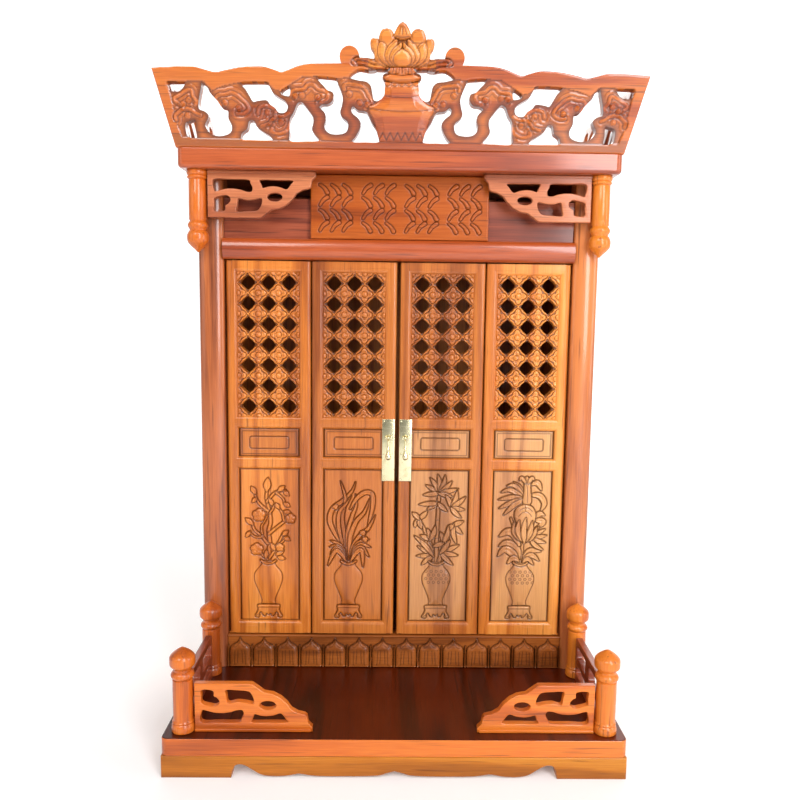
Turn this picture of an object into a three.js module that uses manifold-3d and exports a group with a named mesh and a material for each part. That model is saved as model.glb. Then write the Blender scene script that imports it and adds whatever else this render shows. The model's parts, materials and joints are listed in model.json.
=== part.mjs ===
// A wooden household altar cabinet: a niche behind two folding pairs of carved doors, on a base with an open
// offering deck in front, under a roof with a pierced crest. Millimetres, +Z up, the doors face -Y.
import * as THREE from 'three';
import { mergeVertices } from 'three/addons/utils/BufferGeometryUtils.js';
import Module from 'manifold-3d';

const wasm = await Module();
wasm.setup();

// Base and deck
const baseWidth = 480;
const baseDepth = 345;
const baseCornerRadius = 7;
const deckThickness = 19;
const apronHeight = 23.5;
const apronThickness = 18;
const footWidth = 72;
const apronArch = 14.6;

// Body
const bodyWidth = 466;
const bodyDepth = 180;
const postWidth = 29;
const postDepth = 26;
const postRound = 7;
const wallThickness = 12;
const backThickness = 12;
const floorThickness = 12;

// Rails, frieze and plaque
const lotusRailHeight = 40;
const lotusRailThickness = 20;
const lotusPetalCount = 14;
const lotusPetalRelief = 5;
const lintelHeight = 24.4;
const lintelThickness = 26;
const lintelRound = 8;
const friezeHeight = 46;
const friezeThickness = 10;
const plaqueWidth = 205;
const plaqueHeight = 72;
const plaqueTopGap = 0.9;
const plaqueThickness = 10;

// Doors
const leafThickness = 16;
const leafSideGap = 1.2;
const leafFoldGap = 1;
const leafMeetingGap = 3.8;
const leafEdgeChamfer = 2.5;
const leafBottomGap = 2.5;
const leafTopGap = 1.2;
const stileWidth = 14;
const latticeHeight = 170;
const latticeTopRail = 13;
const latticeColumns = 3;
const latticeRows = 7;
const latticeHoleRadius = 8.2;
const latticeBossHeight = 1.6;
const latticeBossRadius = 5.6;
const waistPanelHeight = 35;
const waistGrooveHeight = 14.5;
const waistGrooveDepth = 1.2;
const midRailHeight = 14;
const lowerPanelHeight = 190;
const lowerPanelBottomRail = 15;
const panelSink = 2.2;
const reliefHeight = 1.8;
const vaseWidth = 35;
const vaseHeight = 55;
const vaseStandWidth = 30;
const vaseStandHeight = 16;
const vaseStandLift = 4;

// Door fittings
const pivotRadius = 2.6;
const pivotClearance = 0.4;
const pivotSunk = 12;
const pivotProud = 7;
const hingeHeight = 30;
const hingeWidth = 12;
const hingePlateThickness = 1.2;
const hingeAxisSetback = 2.2;
const knuckleRadius = 1.7;
const knuckleGap = 0.4;
const hingeEndDistance = 70;
const brassWidth = 15;
const brassHeight = 75;
const brassThickness = 1.2;
const brassEdgeDistance = 0.8;
const brassCentreHeight = 229;
const pullPivotHeight = 245;
const pullPivotStandoff = 5;
const pullLength = 27;
const pullWidth = 7;
const pullThickness = 2.4;
const pullEyeRadius = 3.2;
const pullPinRadius = 1.1;
const pullEyeClearance = 0.5;
const stapleWidth = 8;
const stapleCheek = 1.8;

// Turned posts, brackets and side panels
const balusterHeight = 90;
const balusterHeadRadius = 13.2;
const balusterShaftRadius = 10.4;
const balusterFootRadius = 12.2;
const balusterInset = 19.5;
const backBalusterGap = 1;
const hangingPostLength = 91;
const hangingPostShaftRadius = 9.9;
const hangingPostBallRadius = 12.4;
const hangingPostInset = 18.6;
const hangingPostSetback = 18;
const bracketLength = 122;
const bracketHeight = 52;
const bracketThickness = 8;

// Roof and crest
const roofWidth = 496;
const roofThickness = 22;
const roofOverhang = 33;
const roofCornerRadius = 8;
const crestInset = -1;
const crestFrontInset = 2.5;
const crestHeight = 78;
const crestThickness = 12;
const crestFlare = 19;
const crestLean = 20;
const lotusHeight = 49;
const lotusWidth = 72;
const crestKnobRadius = 10.5;
const crestRelief = 3.5;

// Fits
const seam = 0.1;
const joinery = 0.3;
const roundSteps = 10;

// Places worked out from the sizes
const baseHeight = apronHeight + deckThickness;
const baseFront = -baseDepth / 2;
const baseBack = baseDepth / 2;
const bodyFront = baseBack - bodyDepth;
const bodyHalf = bodyWidth / 2;
const openingHalf = bodyHalf - postWidth;
const lotusRailTop = baseHeight + lotusRailHeight;
const frontPostBack = bodyFront - leafSideGap + postDepth;
const leafBottom = lotusRailTop + leafBottomGap;
const leafHeight = latticeTopRail + latticeHeight + 2 * midRailHeight + waistPanelHeight + lowerPanelHeight
  + lowerPanelBottomRail;
const leafTop = leafBottom + leafHeight;
const lintelBottom = leafTop + leafTopGap;
const lintelTop = lintelBottom + lintelHeight;
const roofBottom = lintelTop + plaqueHeight + plaqueTopGap;
const roofTop = roofBottom + roofThickness;
const leafWidth = (2 * openingHalf - 2 * leafSideGap - 2 * leafFoldGap - leafMeetingGap) / 4;
const outerLeafEdge = openingHalf - leafSideGap;
const innerLeafEdge = leafMeetingGap / 2 + leafWidth;
const pivotX = outerLeafEdge - leafThickness / 2;
const pivotY = bodyFront + leafThickness / 2;
const foldX = innerLeafEdge + leafFoldGap / 2;
const foldY = bodyFront + leafThickness + hingeAxisSetback;

const cabinet = new THREE.Group();

function woodMaterial(colour) {
  return new THREE.MeshStandardMaterial({ color: colour, roughness: 0.32, metalness: 0 });
}

const finishes = {
  amber: () => woodMaterial(0xd27b42),
  deck: () => woodMaterial(0x5c2a10),
  shaded: () => woodMaterial(0x8e512c),
  brass: () => new THREE.MeshStandardMaterial({ color: 0xdccf9c, roughness: 0.25, metalness: 1 }),
};

function add(name, geometry, finish) {
  const mesh = new THREE.Mesh(geometry, finishes[finish]());
  mesh.name = name;
  cabinet.add(mesh);
  return mesh;
}

// A closed geometry as a solid that can be joined and cut
function solid(geometry) {
  const bare = geometry.clone();
  bare.deleteAttribute('normal');
  bare.deleteAttribute('uv');
  const welded = mergeVertices(bare, 1e-4);
  const vertProperties = new Float32Array(welded.attributes.position.array);
  const triVerts = new Uint32Array(welded.index.array);
  return new wasm.Manifold(new wasm.Mesh({ numProp: 3, vertProperties, triVerts }));
}

function geometryOf(body) {
  const cut = body.getMesh();
  const geometry = new THREE.BufferGeometry();
  geometry.setAttribute('position', new THREE.BufferAttribute(cut.vertProperties, 3));
  geometry.setIndex(new THREE.BufferAttribute(cut.triVerts, 1));
  geometry.computeVertexNormals();
  return geometry;
}

function joined(geometries) {
  return geometries.map(solid).reduce((whole, next) => whole.add(next));
}

// A board between two corners
function board(x0, x1, y0, y1, z0, z1) {
  const geometry = new THREE.BoxGeometry(x1 - x0, y1 - y0, z1 - z0);
  geometry.translate((x0 + x1) / 2, (y0 + y1) / 2, (z0 + z1) / 2);
  return geometry;
}

// An outline drawn in X and Z, as a plate from yFront backwards
function blank(outline, yFront, thickness) {
  const geometry = new THREE.ExtrudeGeometry(new THREE.Shape(outline), { depth: thickness, bevelEnabled: false });
  geometry.rotateX(Math.PI / 2);
  geometry.translate(0, yFront + thickness, 0);
  return geometry;
}

// The same with openings cut through it
function plate(outline, holes, yFront, thickness) {
  const cutters = holes.map((points) => solid(blank(points, yFront - 1, thickness + 2)));
  const body = cutters.reduce((rest, cutter) => rest.subtract(cutter), solid(blank(outline, yFront, thickness)));
  return geometryOf(body);
}

// A raised figure on a board whose face is at yFace: its top is smaller than its foot, which is sunk in the board
function raised(outline, yFace, height, slope) {
  const depth = 0.2;
  const chamfer = height;
  const settings = { depth, bevelThickness: chamfer, bevelSize: slope, bevelOffset: -slope, bevelSegments: 1 };
  const geometry = new THREE.ExtrudeGeometry(new THREE.Shape(outline), settings);
  geometry.rotateX(Math.PI / 2);
  geometry.translate(0, yFace + depth, 0);
  return geometry;
}

function vector(pair) {
  return new THREE.Vector2(pair[0], pair[1]);
}

function moved(points, x, z) {
  return points.map((point) => new THREE.Vector2(point.x + x, point.y + z));
}

function mirrored(points) {
  return points.map((point) => new THREE.Vector2(-point.x, point.y)).reverse();
}

function scaled(points, x, z) {
  return points.map((point) => new THREE.Vector2(point.x * x, point.y * z));
}

function circle(x, z, radius, steps, turn = 0) {
  const points = [];
  for (let i = 0; i < steps; i += 1) {
    const angle = turn + (2 * Math.PI * i) / steps;
    points.push(new THREE.Vector2(x + radius * Math.cos(angle), z + radius * Math.sin(angle)));
  }
  return points;
}

// A closed round outline through a few points
function smooth(pairs, steps) {
  const points = pairs.map((pair) => new THREE.Vector3(pair[0], pair[1], 0));
  const curve = new THREE.CatmullRomCurve3(points, true, 'centripetal');
  return curve.getSpacedPoints(steps).slice(0, steps).map((point) => new THREE.Vector2(point.x, point.y));
}

// A tapering stroke along a curve
function stroke(pairs, startWidth, endWidth, steps) {
  const points = pairs.map((pair) => new THREE.Vector3(pair[0], pair[1], 0));
  const curve = new THREE.CatmullRomCurve3(points, false, 'centripetal');
  const right = [];
  const left = [];
  for (let i = 0; i <= steps; i += 1) {
    const share = i / steps;
    const point = curve.getPoint(share);
    const along = curve.getTangent(share);
    const half = (startWidth + (endWidth - startWidth) * share) / 2;
    right.push(new THREE.Vector2(point.x + along.y * half, point.y - along.x * half));
    left.push(new THREE.Vector2(point.x - along.y * half, point.y + along.x * half));
  }
  return right.concat(left.reverse());
}

// A pointed blade from its foot to its tip
function blade(x, z, tipX, tipZ, width) {
  const along = new THREE.Vector2(tipX - x, tipZ - z);
  const across = new THREE.Vector2(-along.y, along.x).normalize().multiplyScalar(width / 2);
  const foot = new THREE.Vector2(x, z);
  const belly = foot.clone().addScaledVector(along, 0.45);
  return [foot.clone().addScaledVector(across, -0.3), belly.clone().sub(across), vector([tipX, tipZ]),
    belly.clone().add(across), foot.clone().addScaledVector(across, 0.3)];
}

// A turned piece standing on z = 0, from pairs of radius and height
function turned(pairs) {
  const geometry = new THREE.LatheGeometry(pairs.map(vector), roundSteps);
  geometry.rotateX(Math.PI / 2);
  return geometryOf(solid(geometry));
}

function roundedRectangle(halfWidth, front, back, radius, steps) {
  const points = [];
  const corners = [
    [halfWidth - radius, front + radius, -Math.PI / 2],
    [halfWidth - radius, back - radius, 0],
    [-halfWidth + radius, back - radius, Math.PI / 2],
    [-halfWidth + radius, front + radius, Math.PI],
  ];
  for (const [x, y, start] of corners) {
    for (let i = 0; i <= steps; i += 1) {
      const angle = start + (Math.PI / 2) * (i / steps);
      points.push(new THREE.Vector2(x + radius * Math.cos(angle), y + radius * Math.sin(angle)));
    }
  }
  return points;
}

// A plan outline, as a slab between two heights
function slab(outline, z0, z1) {
  const geometry = new THREE.ExtrudeGeometry(new THREE.Shape(outline), { depth: z1 - z0, bevelEnabled: false });
  geometry.translate(0, 0, z0);
  return geometry;
}

// Base: deck board on four aprons, hollow underneath
const deckPlan = roundedRectangle(baseWidth / 2, baseFront, baseBack, baseCornerRadius, 3);
add('deck_board', slab(deckPlan, apronHeight + seam, baseHeight), 'deck');

// The lower edge of the front apron: feet at the ends, an ogee, and low cusps between round lobes
function apronEdge(half) {
  const foot = half - footWidth;
  const lobeDrop = apronArch * 0.13;
  const halfEdge = [
    [0, apronArch * 0.52],
    [foot * 0.1, apronArch * 0.2],
    [foot * 0.3, lobeDrop],
    [foot * 0.5, apronArch * 0.16],
    [foot * 0.59, apronArch * 0.3],
    [foot * 0.66, apronArch * 0.16],
    [foot * 0.76, lobeDrop],
    [foot * 0.85, apronArch * 0.38],
    [foot * 0.9, apronArch * 0.85],
    [foot * 0.94, apronArch],
    [foot * 0.98, apronArch * 0.85],
    [foot, 0],
  ];
  const right = halfEdge.map(vector);
  const left = mirrored(right.slice(1));
  return left.concat(right);
}

function apronOutline(half, height) {
  const edge = apronEdge(half);
  return [new THREE.Vector2(-half, 0), ...edge, new THREE.Vector2(half, 0), new THREE.Vector2(half, height),
    new THREE.Vector2(-half, height)];
}

add('front_apron', plate(apronOutline(baseWidth / 2, apronHeight), [], baseFront, apronThickness), 'amber');

function plainApron(half) {
  const arch = [
    [-half, 0], [-half + footWidth * 0.8, 0], [-half + footWidth, apronArch * 0.8],
    [half - footWidth, apronArch * 0.8], [half - footWidth * 0.8, 0], [half, 0], [half, apronHeight],
    [-half, apronHeight],
  ];
  return arch.map(vector);
}

add('back_apron', plate(plainApron(baseWidth / 2), [], baseBack - apronThickness, apronThickness), 'amber');
for (const [side, sign] of [['left', -1], ['right', 1]]) {
  const half = baseDepth / 2 - apronThickness - seam;
  const apron = plate(plainApron(half), [], -apronThickness / 2, apronThickness);
  apron.rotateZ(Math.PI / 2);
  apron.translate(sign * (baseWidth / 2 - apronThickness / 2), 0, 0);
  add(`${side}_apron`, apron, 'amber');
}

// Body: posts with rounded fronts, plain side walls, back and floor
const bodyBottom = baseHeight + seam;
const bodyTop = roofBottom - seam;
for (const [side, sign] of [['left', -1], ['right', 1]]) {
  const centre = sign * (bodyHalf - postWidth / 2);
  const half = postWidth / 2;
  const front = bodyFront - leafSideGap;
  const plan = [new THREE.Vector2(half, front + postDepth), new THREE.Vector2(-half, front + postDepth)];
  for (let i = 0; i <= 6; i += 1) {
    const angle = Math.PI * (1 + i / 6);
    plan.push(new THREE.Vector2(half * Math.cos(angle), front + postRound * (1 + Math.sin(angle)) - postRound / 2));
  }
  add(`${side}_post`, slab(moved(plan, centre, 0), bodyBottom, bodyTop), 'amber');

  const outside = sign * bodyHalf;
  const inside = sign * (bodyHalf - wallThickness);
  const wall = board(Math.min(outside, inside), Math.max(outside, inside), frontPostBack + seam,
    baseBack - backThickness - seam, bodyBottom, bodyTop);
  add(`${side}_wall`, wall, 'amber');
}
add('back_panel', board(-bodyHalf, bodyHalf, baseBack - backThickness, baseBack, bodyBottom, bodyTop), 'amber');
const innerHalf = bodyHalf - wallThickness - seam;
const lotusRailFront = bodyFront - 0.5;
const lotusRailBack = lotusRailFront + lotusRailThickness;
const floorFront = Math.max(frontPostBack, lotusRailBack) + seam;
add('floor_board', board(-innerHalf, innerHalf, floorFront, baseBack - backThickness - seam,
  lotusRailTop - floorThickness, lotusRailTop), 'shaded');

// A pointed lotus petal standing between its neighbours
function petal(width, height) {
  const half = width / 2;
  const halfOutline = [[0, height], [half * 0.25, height * 0.82], [half * 0.94, height * 0.6], [half * 0.94, 0]];
  const right = halfOutline.map(vector);
  return mirrored(right.slice(1)).concat(right).reverse();
}

function pivotHole(x, z0, z1) {
  const radius = pivotRadius + pivotClearance;
  const geometry = new THREE.CylinderGeometry(radius, radius, z1 - z0, roundSteps);
  geometry.rotateX(Math.PI / 2);
  geometry.translate(x, pivotY, (z0 + z1) / 2);
  return solid(geometry);
}

const railHalf = openingHalf - seam;
let lotusRail = solid(board(-railHalf, railHalf, lotusRailFront, lotusRailBack, bodyBottom, lotusRailTop));
const petalWidth = (2 * railHalf) / lotusPetalCount;
for (let i = 0; i < lotusPetalCount; i += 1) {
  const outline = petal(petalWidth, lotusRailHeight * 0.86);
  const centre = -railHalf + petalWidth * (i + 0.5);
  const figure = raised(moved(outline, centre, bodyBottom), lotusRailFront, lotusPetalRelief, petalWidth * 0.11);
  lotusRail = lotusRail.add(solid(figure));
}
// The petals' sloping edges are cut level with the rail's underside
lotusRail = lotusRail.subtract(solid(board(-railHalf, railHalf, lotusRailFront - 2 * lotusPetalRelief,
  lotusRailBack, 0, bodyBottom)));
for (const sign of [-1, 1]) {
  lotusRail = lotusRail.subtract(pivotHole(sign * pivotX, lotusRailTop - pivotProud, lotusRailTop + 1));
}
add('lotus_rail', geometryOf(lotusRail), 'shaded');

// Lintel rail with a half-round front
const lintelFront = bodyFront - leafSideGap;
const lintelSection = [new THREE.Vector2(lintelFront + lintelThickness, lintelTop),
  new THREE.Vector2(lintelFront + lintelThickness, lintelBottom)];
for (let i = 0; i <= 6; i += 1) {
  const angle = -Math.PI / 2 + (Math.PI * i) / 6;
  lintelSection.push(new THREE.Vector2(lintelFront - lintelRound * Math.cos(angle),
    (lintelBottom + lintelTop) / 2 + (lintelHeight / 2) * Math.sin(angle)));
}
const lintelBlank = new THREE.ExtrudeGeometry(new THREE.Shape(lintelSection),
  { depth: 2 * railHalf, bevelEnabled: false });
// The section's axes are Y and Z, and its length runs along X
lintelBlank.applyMatrix4(new THREE.Matrix4().makeBasis(new THREE.Vector3(0, 1, 0), new THREE.Vector3(0, 0, 1),
  new THREE.Vector3(1, 0, 0)));
lintelBlank.translate(-railHalf, 0, 0);
let lintel = solid(lintelBlank);
for (const sign of [-1, 1]) {
  lintel = lintel.subtract(pivotHole(sign * pivotX, lintelBottom - 1, lintelBottom + pivotProud));
}
add('lintel_rail', geometryOf(lintel), 'amber');

const friezeFront = bodyFront + 4;
add('frieze_panel', board(-railHalf, railHalf, friezeFront, friezeFront + friezeThickness, lintelTop + seam,
  lintelTop + friezeHeight), 'shaded');

// Plaque with rows of shallow strokes between two fine border lines
const plaqueFront = friezeFront - seam - plaqueThickness;
const plaqueBottom = lintelTop + seam;
let plaqueBody = solid(board(-plaqueWidth / 2, plaqueWidth / 2, plaqueFront, plaqueFront + plaqueThickness,
  plaqueBottom, plaqueBottom + plaqueHeight));
const strokeDepth = 1.2;
for (let column = 0; column < 4; column += 1) {
  for (let row = 0; row < 3; row += 1) {
    const x = plaqueWidth * (column - 1.5) * 0.235;
    const z = plaqueBottom + plaqueHeight * (0.25 + 0.25 * row);
    const half = plaqueWidth * (row % 2 === 0 ? 0.085 : 0.06);
    const groove = board(x - half, x + half, plaqueFront - 1, plaqueFront + strokeDepth, z - 1.6, z + 1.6);
    plaqueBody = plaqueBody.subtract(solid(groove));
  }
}
add('plaque', geometryOf(plaqueBody), 'amber');

// Roof slab
const roofFront = bodyFront - roofOverhang;
const roofPlan = roundedRectangle(roofWidth / 2, roofFront, baseBack, roofCornerRadius, 3);
add('roof_slab', slab(roofPlan, roofBottom, roofTop), 'amber');

// Turned balusters at the deck's corners and in front of the body's posts
const headBottom = balusterHeight * 0.78;
const balusterProfile = [
  [0, 0],
  [balusterFootRadius, 0],
  [balusterFootRadius, balusterHeight * 0.09],
  [balusterShaftRadius, balusterHeight * 0.13],
  [balusterShaftRadius, balusterHeight * 0.64],
  [balusterFootRadius, balusterHeight * 0.68],
  [balusterShaftRadius * 0.95, balusterHeight * 0.74],
  [balusterHeadRadius, headBottom],
  [balusterHeadRadius, balusterHeight * 0.9],
  [0, balusterHeight],
];
const balusterX = baseWidth / 2 - balusterInset;
const frontBalusterY = baseFront + balusterInset - 1.5;
const postFront = bodyFront - leafSideGap - postRound / 2;
const backBalusterY = postFront - backBalusterGap - balusterHeadRadius;
for (const [side, sign] of [['left', -1], ['right', 1]]) {
  for (const [place, y] of [['front', frontBalusterY], ['back', backBalusterY]]) {
    const baluster = add(`${side}_${place}_baluster`, turned(balusterProfile), 'amber');
    baluster.position.set(sign * balusterX, y, baseHeight + seam);
  }
}

// Hanging posts under the roof's front corners, turned with their tip down
const hangingProfile = [
  [0, 0],
  [hangingPostBallRadius * 0.55, hangingPostLength * 0.06],
  [hangingPostBallRadius, hangingPostLength * 0.15],
  [hangingPostBallRadius, hangingPostLength * 0.22],
  [hangingPostBallRadius * 0.8, hangingPostLength * 0.285],
  [hangingPostBallRadius * 0.93, hangingPostLength * 0.3],
  [hangingPostBallRadius * 0.93, hangingPostLength * 0.37],
  [hangingPostShaftRadius, hangingPostLength * 0.39],
  [hangingPostShaftRadius, hangingPostLength * 0.9],
  [hangingPostShaftRadius * 1.18, hangingPostLength * 0.93],
  [hangingPostShaftRadius * 1.18, hangingPostLength],
  [0, hangingPostLength],
];
const hangingX = roofWidth / 2 - hangingPostInset;
const hangingY = roofFront + hangingPostSetback;
for (const [side, sign] of [['left', -1], ['right', 1]]) {
  const post = add(`${side}_hanging_post`, turned(hangingProfile), 'amber');
  post.position.set(sign * hangingX, hangingY, roofBottom - seam - hangingPostLength);
}

// Pierced bracket: x runs from the post, z from the long straight edge
function bracketOutline() {
  const free = [[1, 0], [1, 0.14], [0.94, 0.17], [0.93, 0.33], [0.8, 0.45], [0.76, 0.63], [0.65, 0.81],
    [0.58, 0.83], [0.49, 1], [0, 1], [0, 0]];
  return scaled(free.map(vector), bracketLength, bracketHeight);
}

function bracketHoles() {
  const long = [[0.06, 0.19], [0.38, 0.19], [0.42, 0.35], [0.39, 0.46], [0.21, 0.38], [0.07, 0.44]];
  const short = [[0.49, 0.19], [0.79, 0.19], [0.75, 0.38], [0.61, 0.32], [0.5, 0.38]];
  const square = [[0.29, 0.59], [0.4, 0.61], [0.5, 0.57], [0.5, 0.76], [0.45, 0.87], [0.28, 0.87]];
  const comma = [[0.06, 0.59], [0.16, 0.52], [0.21, 0.6], [0.19, 0.74], [0.15, 0.87], [0.06, 0.87]];
  const holes = [long, short, square, comma].map((pairs) => pairs.map(vector));
  const eye = scaled(circle(0, 0, 1, 8), 0.068, 0.075);
  holes.push(moved(eye, 0.62, 0.55));
  return holes.map((points) => scaled(points, bracketLength, bracketHeight));
}

function bracket(x, y, z, signX, signZ) {
  const turn = (points) => moved(scaled(points, signX, signZ), x, z);
  const wound = (points) => (signX * signZ > 0 ? turn(points) : turn(points).reverse());
  return plate(wound(bracketOutline()), bracketHoles().map(wound), y - bracketThickness / 2, bracketThickness);
}

for (const [side, sign] of [['left', -1], ['right', 1]]) {
  const roofX = sign * (hangingX - hangingPostShaftRadius * 1.18 - joinery);
  add(`${side}_roof_bracket`, bracket(roofX, hangingY, roofBottom - seam, -sign, -1), 'amber');
  const deckX = sign * (balusterX - balusterFootRadius - joinery);
  add(`${side}_deck_bracket`, bracket(deckX, frontBalusterY, baseHeight + seam, -sign, 1), 'amber');
}

// Side panels of the deck: the bracket's openings, met by their mirror image
function sidePanel(length) {
  const half = length / 2;
  const outline = [[-half, 0], [half, 0], [half, bracketHeight], [-half, bracketHeight]].map(vector);
  const holes = [];
  for (const sign of [-1, 1]) {
    const low = [[0.08, 0.19], [0.44, 0.19], [0.44, 0.34], [0.3, 0.42], [0.08, 0.36]];
    const high = [[0.08, 0.52], [0.26, 0.58], [0.44, 0.56], [0.44, 0.84], [0.08, 0.84]];
    for (const pairs of [low, high]) {
      const points = scaled(pairs.map(vector), length * sign, bracketHeight);
      holes.push(sign > 0 ? points : points.reverse());
    }
  }
  return plate(outline, holes, -bracketThickness / 2, bracketThickness);
}

const sidePanelFront = frontBalusterY + balusterFootRadius + joinery;
const sidePanelBack = backBalusterY - balusterFootRadius - joinery;
for (const [side, sign] of [['left', -1], ['right', 1]]) {
  const panel = sidePanel(sidePanelBack - sidePanelFront);
  panel.rotateZ(Math.PI / 2);
  panel.translate(sign * balusterX, (sidePanelFront + sidePanelBack) / 2, baseHeight + seam);
  add(`${side}_deck_panel`, panel, 'amber');
}

// Crest board, drawn upright in shares of its half width and height, then leaned forward
const crestHalf = roofWidth / 2 - crestInset;
const lotusTopShare = 162;

function crestPoint([across, up]) {
  const z = up <= 100 ? (up / 100) * crestHeight
    : crestHeight + ((up - 100) / (lotusTopShare - 100)) * lotusHeight;
  const inside = (across / 100) * (crestHalf + crestFlare * Math.min(up / 100, 1));
  return new THREE.Vector2(inside, z);
}

function crestOutline() {
  const wave = [[21, 111], [29, 109], [39, 107], [48, 97], [56, 102], [65, 101], [76, 96], [83, 102], [91, 101],
    [100, 100]].map(([across, up]) => new THREE.Vector3(across, up, 0));
  const edge = new THREE.CatmullRomCurve3(wave, false, 'centripetal').getPoints(14);
  const flower = [[3, 151], [7, 154], [10, 145], [12.5, 139], [13, 134], [11, 122], [14, 117], [17, 112]];
  const half = flower.concat(edge.map((point) => [point.x, point.y]), [[100, 0]]);
  const right = half.map(crestPoint);
  return [crestPoint([0, lotusTopShare]), ...right, ...mirrored(right)];
}

// The openings of the right half, each a smooth closed line through a few points, and how many steps it takes
const crestOpenings = [
  { through: [[21, 92], [18, 103], [5, 102], [7, 90], [7, 73], [11, 62], [13, 80]], steps: 8 },
  { through: [[34, 92], [27, 90], [24, 68], [25, 46], [23, 34], [25, 21], [32, 20], [33, 40], [31, 57], [28, 70],
    [32, 82]], steps: 12 },
  { through: [[49, 12], [48, 33], [42, 60], [39, 46], [38, 24], [36, 12]], steps: 7 },
  { through: [[22, 12], [18, 31], [21, 46], [20, 54], [14, 46], [10, 25], [10, 12]], steps: 7 },
  { through: [[47, 79], [46, 73], [48, 67], [50, 72]], steps: 5 },
  { through: [[65, 84], [55, 84], [52, 72], [48, 55], [53, 50], [55, 62], [62, 59]], steps: 8 },
  { through: [[69, 12], [65, 33], [61, 24], [57, 12]], steps: 5 },
  { through: [[82, 84], [77, 60], [73, 50], [74, 25], [77, 18], [83, 20], [84, 35], [86, 47], [84, 60]],
    steps: 10 },
  { through: [[95, 83], [89, 83], [90, 74], [95, 74]], steps: 5 },
  { through: [[93, 13], [94, 24], [89, 35], [89, 13]], steps: 5 },
];

// Cloud heads on their stems, raised from the board
const crestClouds = [
  [[24, 89], [15, 87], [11, 62], [15, 51], [21, 57], [26, 74]],
  [[46, 70], [40, 90], [33, 84], [28, 68], [31, 58], [41, 61]],
  [[61, 56], [56, 61], [47, 34], [48, 19], [53, 17]],
  [[78, 77], [71, 81], [62, 56], [67, 44], [75, 54]],
  [[97, 61], [90, 76], [84, 78], [85, 50], [95, 39]],
];

const crestVase = [[0, 93], [7.5, 93], [7.5, 86], [6.5, 83], [6.5, 72], [10, 64], [14, 60], [15, 53], [12.5, 38],
  [10, 21], [9.5, 11], [0, 11]];

// Lotus petals: foot, tip and width in shares of the flower, and the layer that they stand in
const lotusPetals = [
  { foot: [0, 106], tip: [0, 160], width: 11, layer: 1 },
  { foot: [3, 106], tip: [11.5, 136], width: 9, layer: 2 },
  { foot: [-3, 106], tip: [-11.5, 136], width: 9, layer: 2 },
  { foot: [1, 105], tip: [6, 143], width: 9, layer: 3 },
  { foot: [-1, 105], tip: [-6, 143], width: 9, layer: 3 },
  { foot: [0, 104], tip: [0, 136], width: 9.5, layer: 4 },
];

function openingsOf(list, toPoint) {
  const holes = [];
  for (const { through, steps } of list) {
    const right = smooth(through, steps).map((point) => toPoint([point.x, point.y]));
    holes.push(right, mirrored(right));
  }
  return holes;
}

function leafShape(foot, tip, width) {
  const start = crestPoint(foot);
  const end = crestPoint(tip);
  const along = end.clone().sub(start);
  const across = new THREE.Vector2(along.y, -along.x).normalize().multiplyScalar(width / 2);
  const right = [[0.35, 1], [0.75, 0.75]];
  const side = (sign) => right.map(([share, out]) => start.clone().addScaledVector(along, share)
    .addScaledVector(across, sign * out));
  const points = [start.clone().addScaledVector(across, -0.5), start.clone().addScaledVector(across, 0.5)];
  return [...points, ...side(1), end, ...side(-1).reverse()];
}

const crestBoard = plate(crestOutline(), openingsOf(crestOpenings, crestPoint), 0, crestThickness);
const crestParts = [crestBoard];
for (const sign of [-1, 1]) {
  const knob = crestPoint([21, 117]);
  crestParts.push(plate(circle(sign * knob.x, knob.y, crestKnobRadius, 12), [], 0, crestThickness));
  for (const cloud of crestClouds) {
    const right = cloud.map(crestPoint);
    crestParts.push(raised(sign > 0 ? right : mirrored(right), 0, crestRelief * 0.6, crestRelief * 0.5));
  }
}
const vaseHalf = crestVase.map(crestPoint);
crestParts.push(raised([...vaseHalf, ...mirrored(vaseHalf.slice(1, -1))], 0, crestRelief, crestRelief * 0.9));
const shareWidth = crestHalf / 100;
for (const { foot, tip, width, layer } of lotusPetals) {
  const outline = leafShape(foot, tip, width * shareWidth);
  crestParts.push(raised(outline, 0, crestRelief * 0.45 * layer, crestRelief * 0.5));
}
const crestGeometry = geometryOf(joined(crestParts));

function leaned(geometry, xPerZ, yPerZ) {
  const lean = new THREE.Matrix4().set(1, 0, xPerZ, 0, 0, 1, yPerZ, 0, 0, 0, 1, 0, 0, 0, 0, 1);
  geometry.applyMatrix4(lean);
  geometry.computeVertexNormals();
  return geometry;
}

const forwardLean = crestLean / crestHeight;
const outwardLean = crestFlare / crestHeight;
const crestFrontY = roofFront + crestFrontInset;
const crestFront = add('crest_front', leaned(crestGeometry, 0, -forwardLean), 'amber');
crestFront.position.set(0, crestFrontY, roofTop + seam);

// Side crest boards: plainer scrolls, mitred to the front board's lean
function sideCrest(length) {
  const top = [];
  const waves = 9;
  for (let i = 0; i <= waves; i += 1) {
    const share = i / waves;
    const x = -crestLean + (length + crestLean) * share;
    top.push(new THREE.Vector2(x, crestHeight * (1 - 0.035 * (1 - Math.cos(share * 6 * Math.PI)))));
  }
  const outline = [new THREE.Vector2(0, 0), ...top, new THREE.Vector2(length, 0)].reverse();
  const holes = [];
  const windows = 3;
  const pitch = length / windows;
  for (let i = 0; i < windows; i += 1) {
    const x = pitch * (i + 0.5) - crestLean * 0.35;
    const left = [[-0.38, 0.14], [-0.08, 0.14], [-0.12, 0.4], [-0.05, 0.62], [-0.2, 0.8], [-0.4, 0.78],
      [-0.34, 0.5]];
    for (const sign of [-1, 1]) {
      const points = smooth(left.map(([u, v]) => [sign * u * pitch, v * crestHeight]), 7);
      holes.push(moved(sign > 0 ? points : points.reverse(), x, 0));
    }
  }
  return plate(outline, holes, 0, crestThickness);
}

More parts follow.
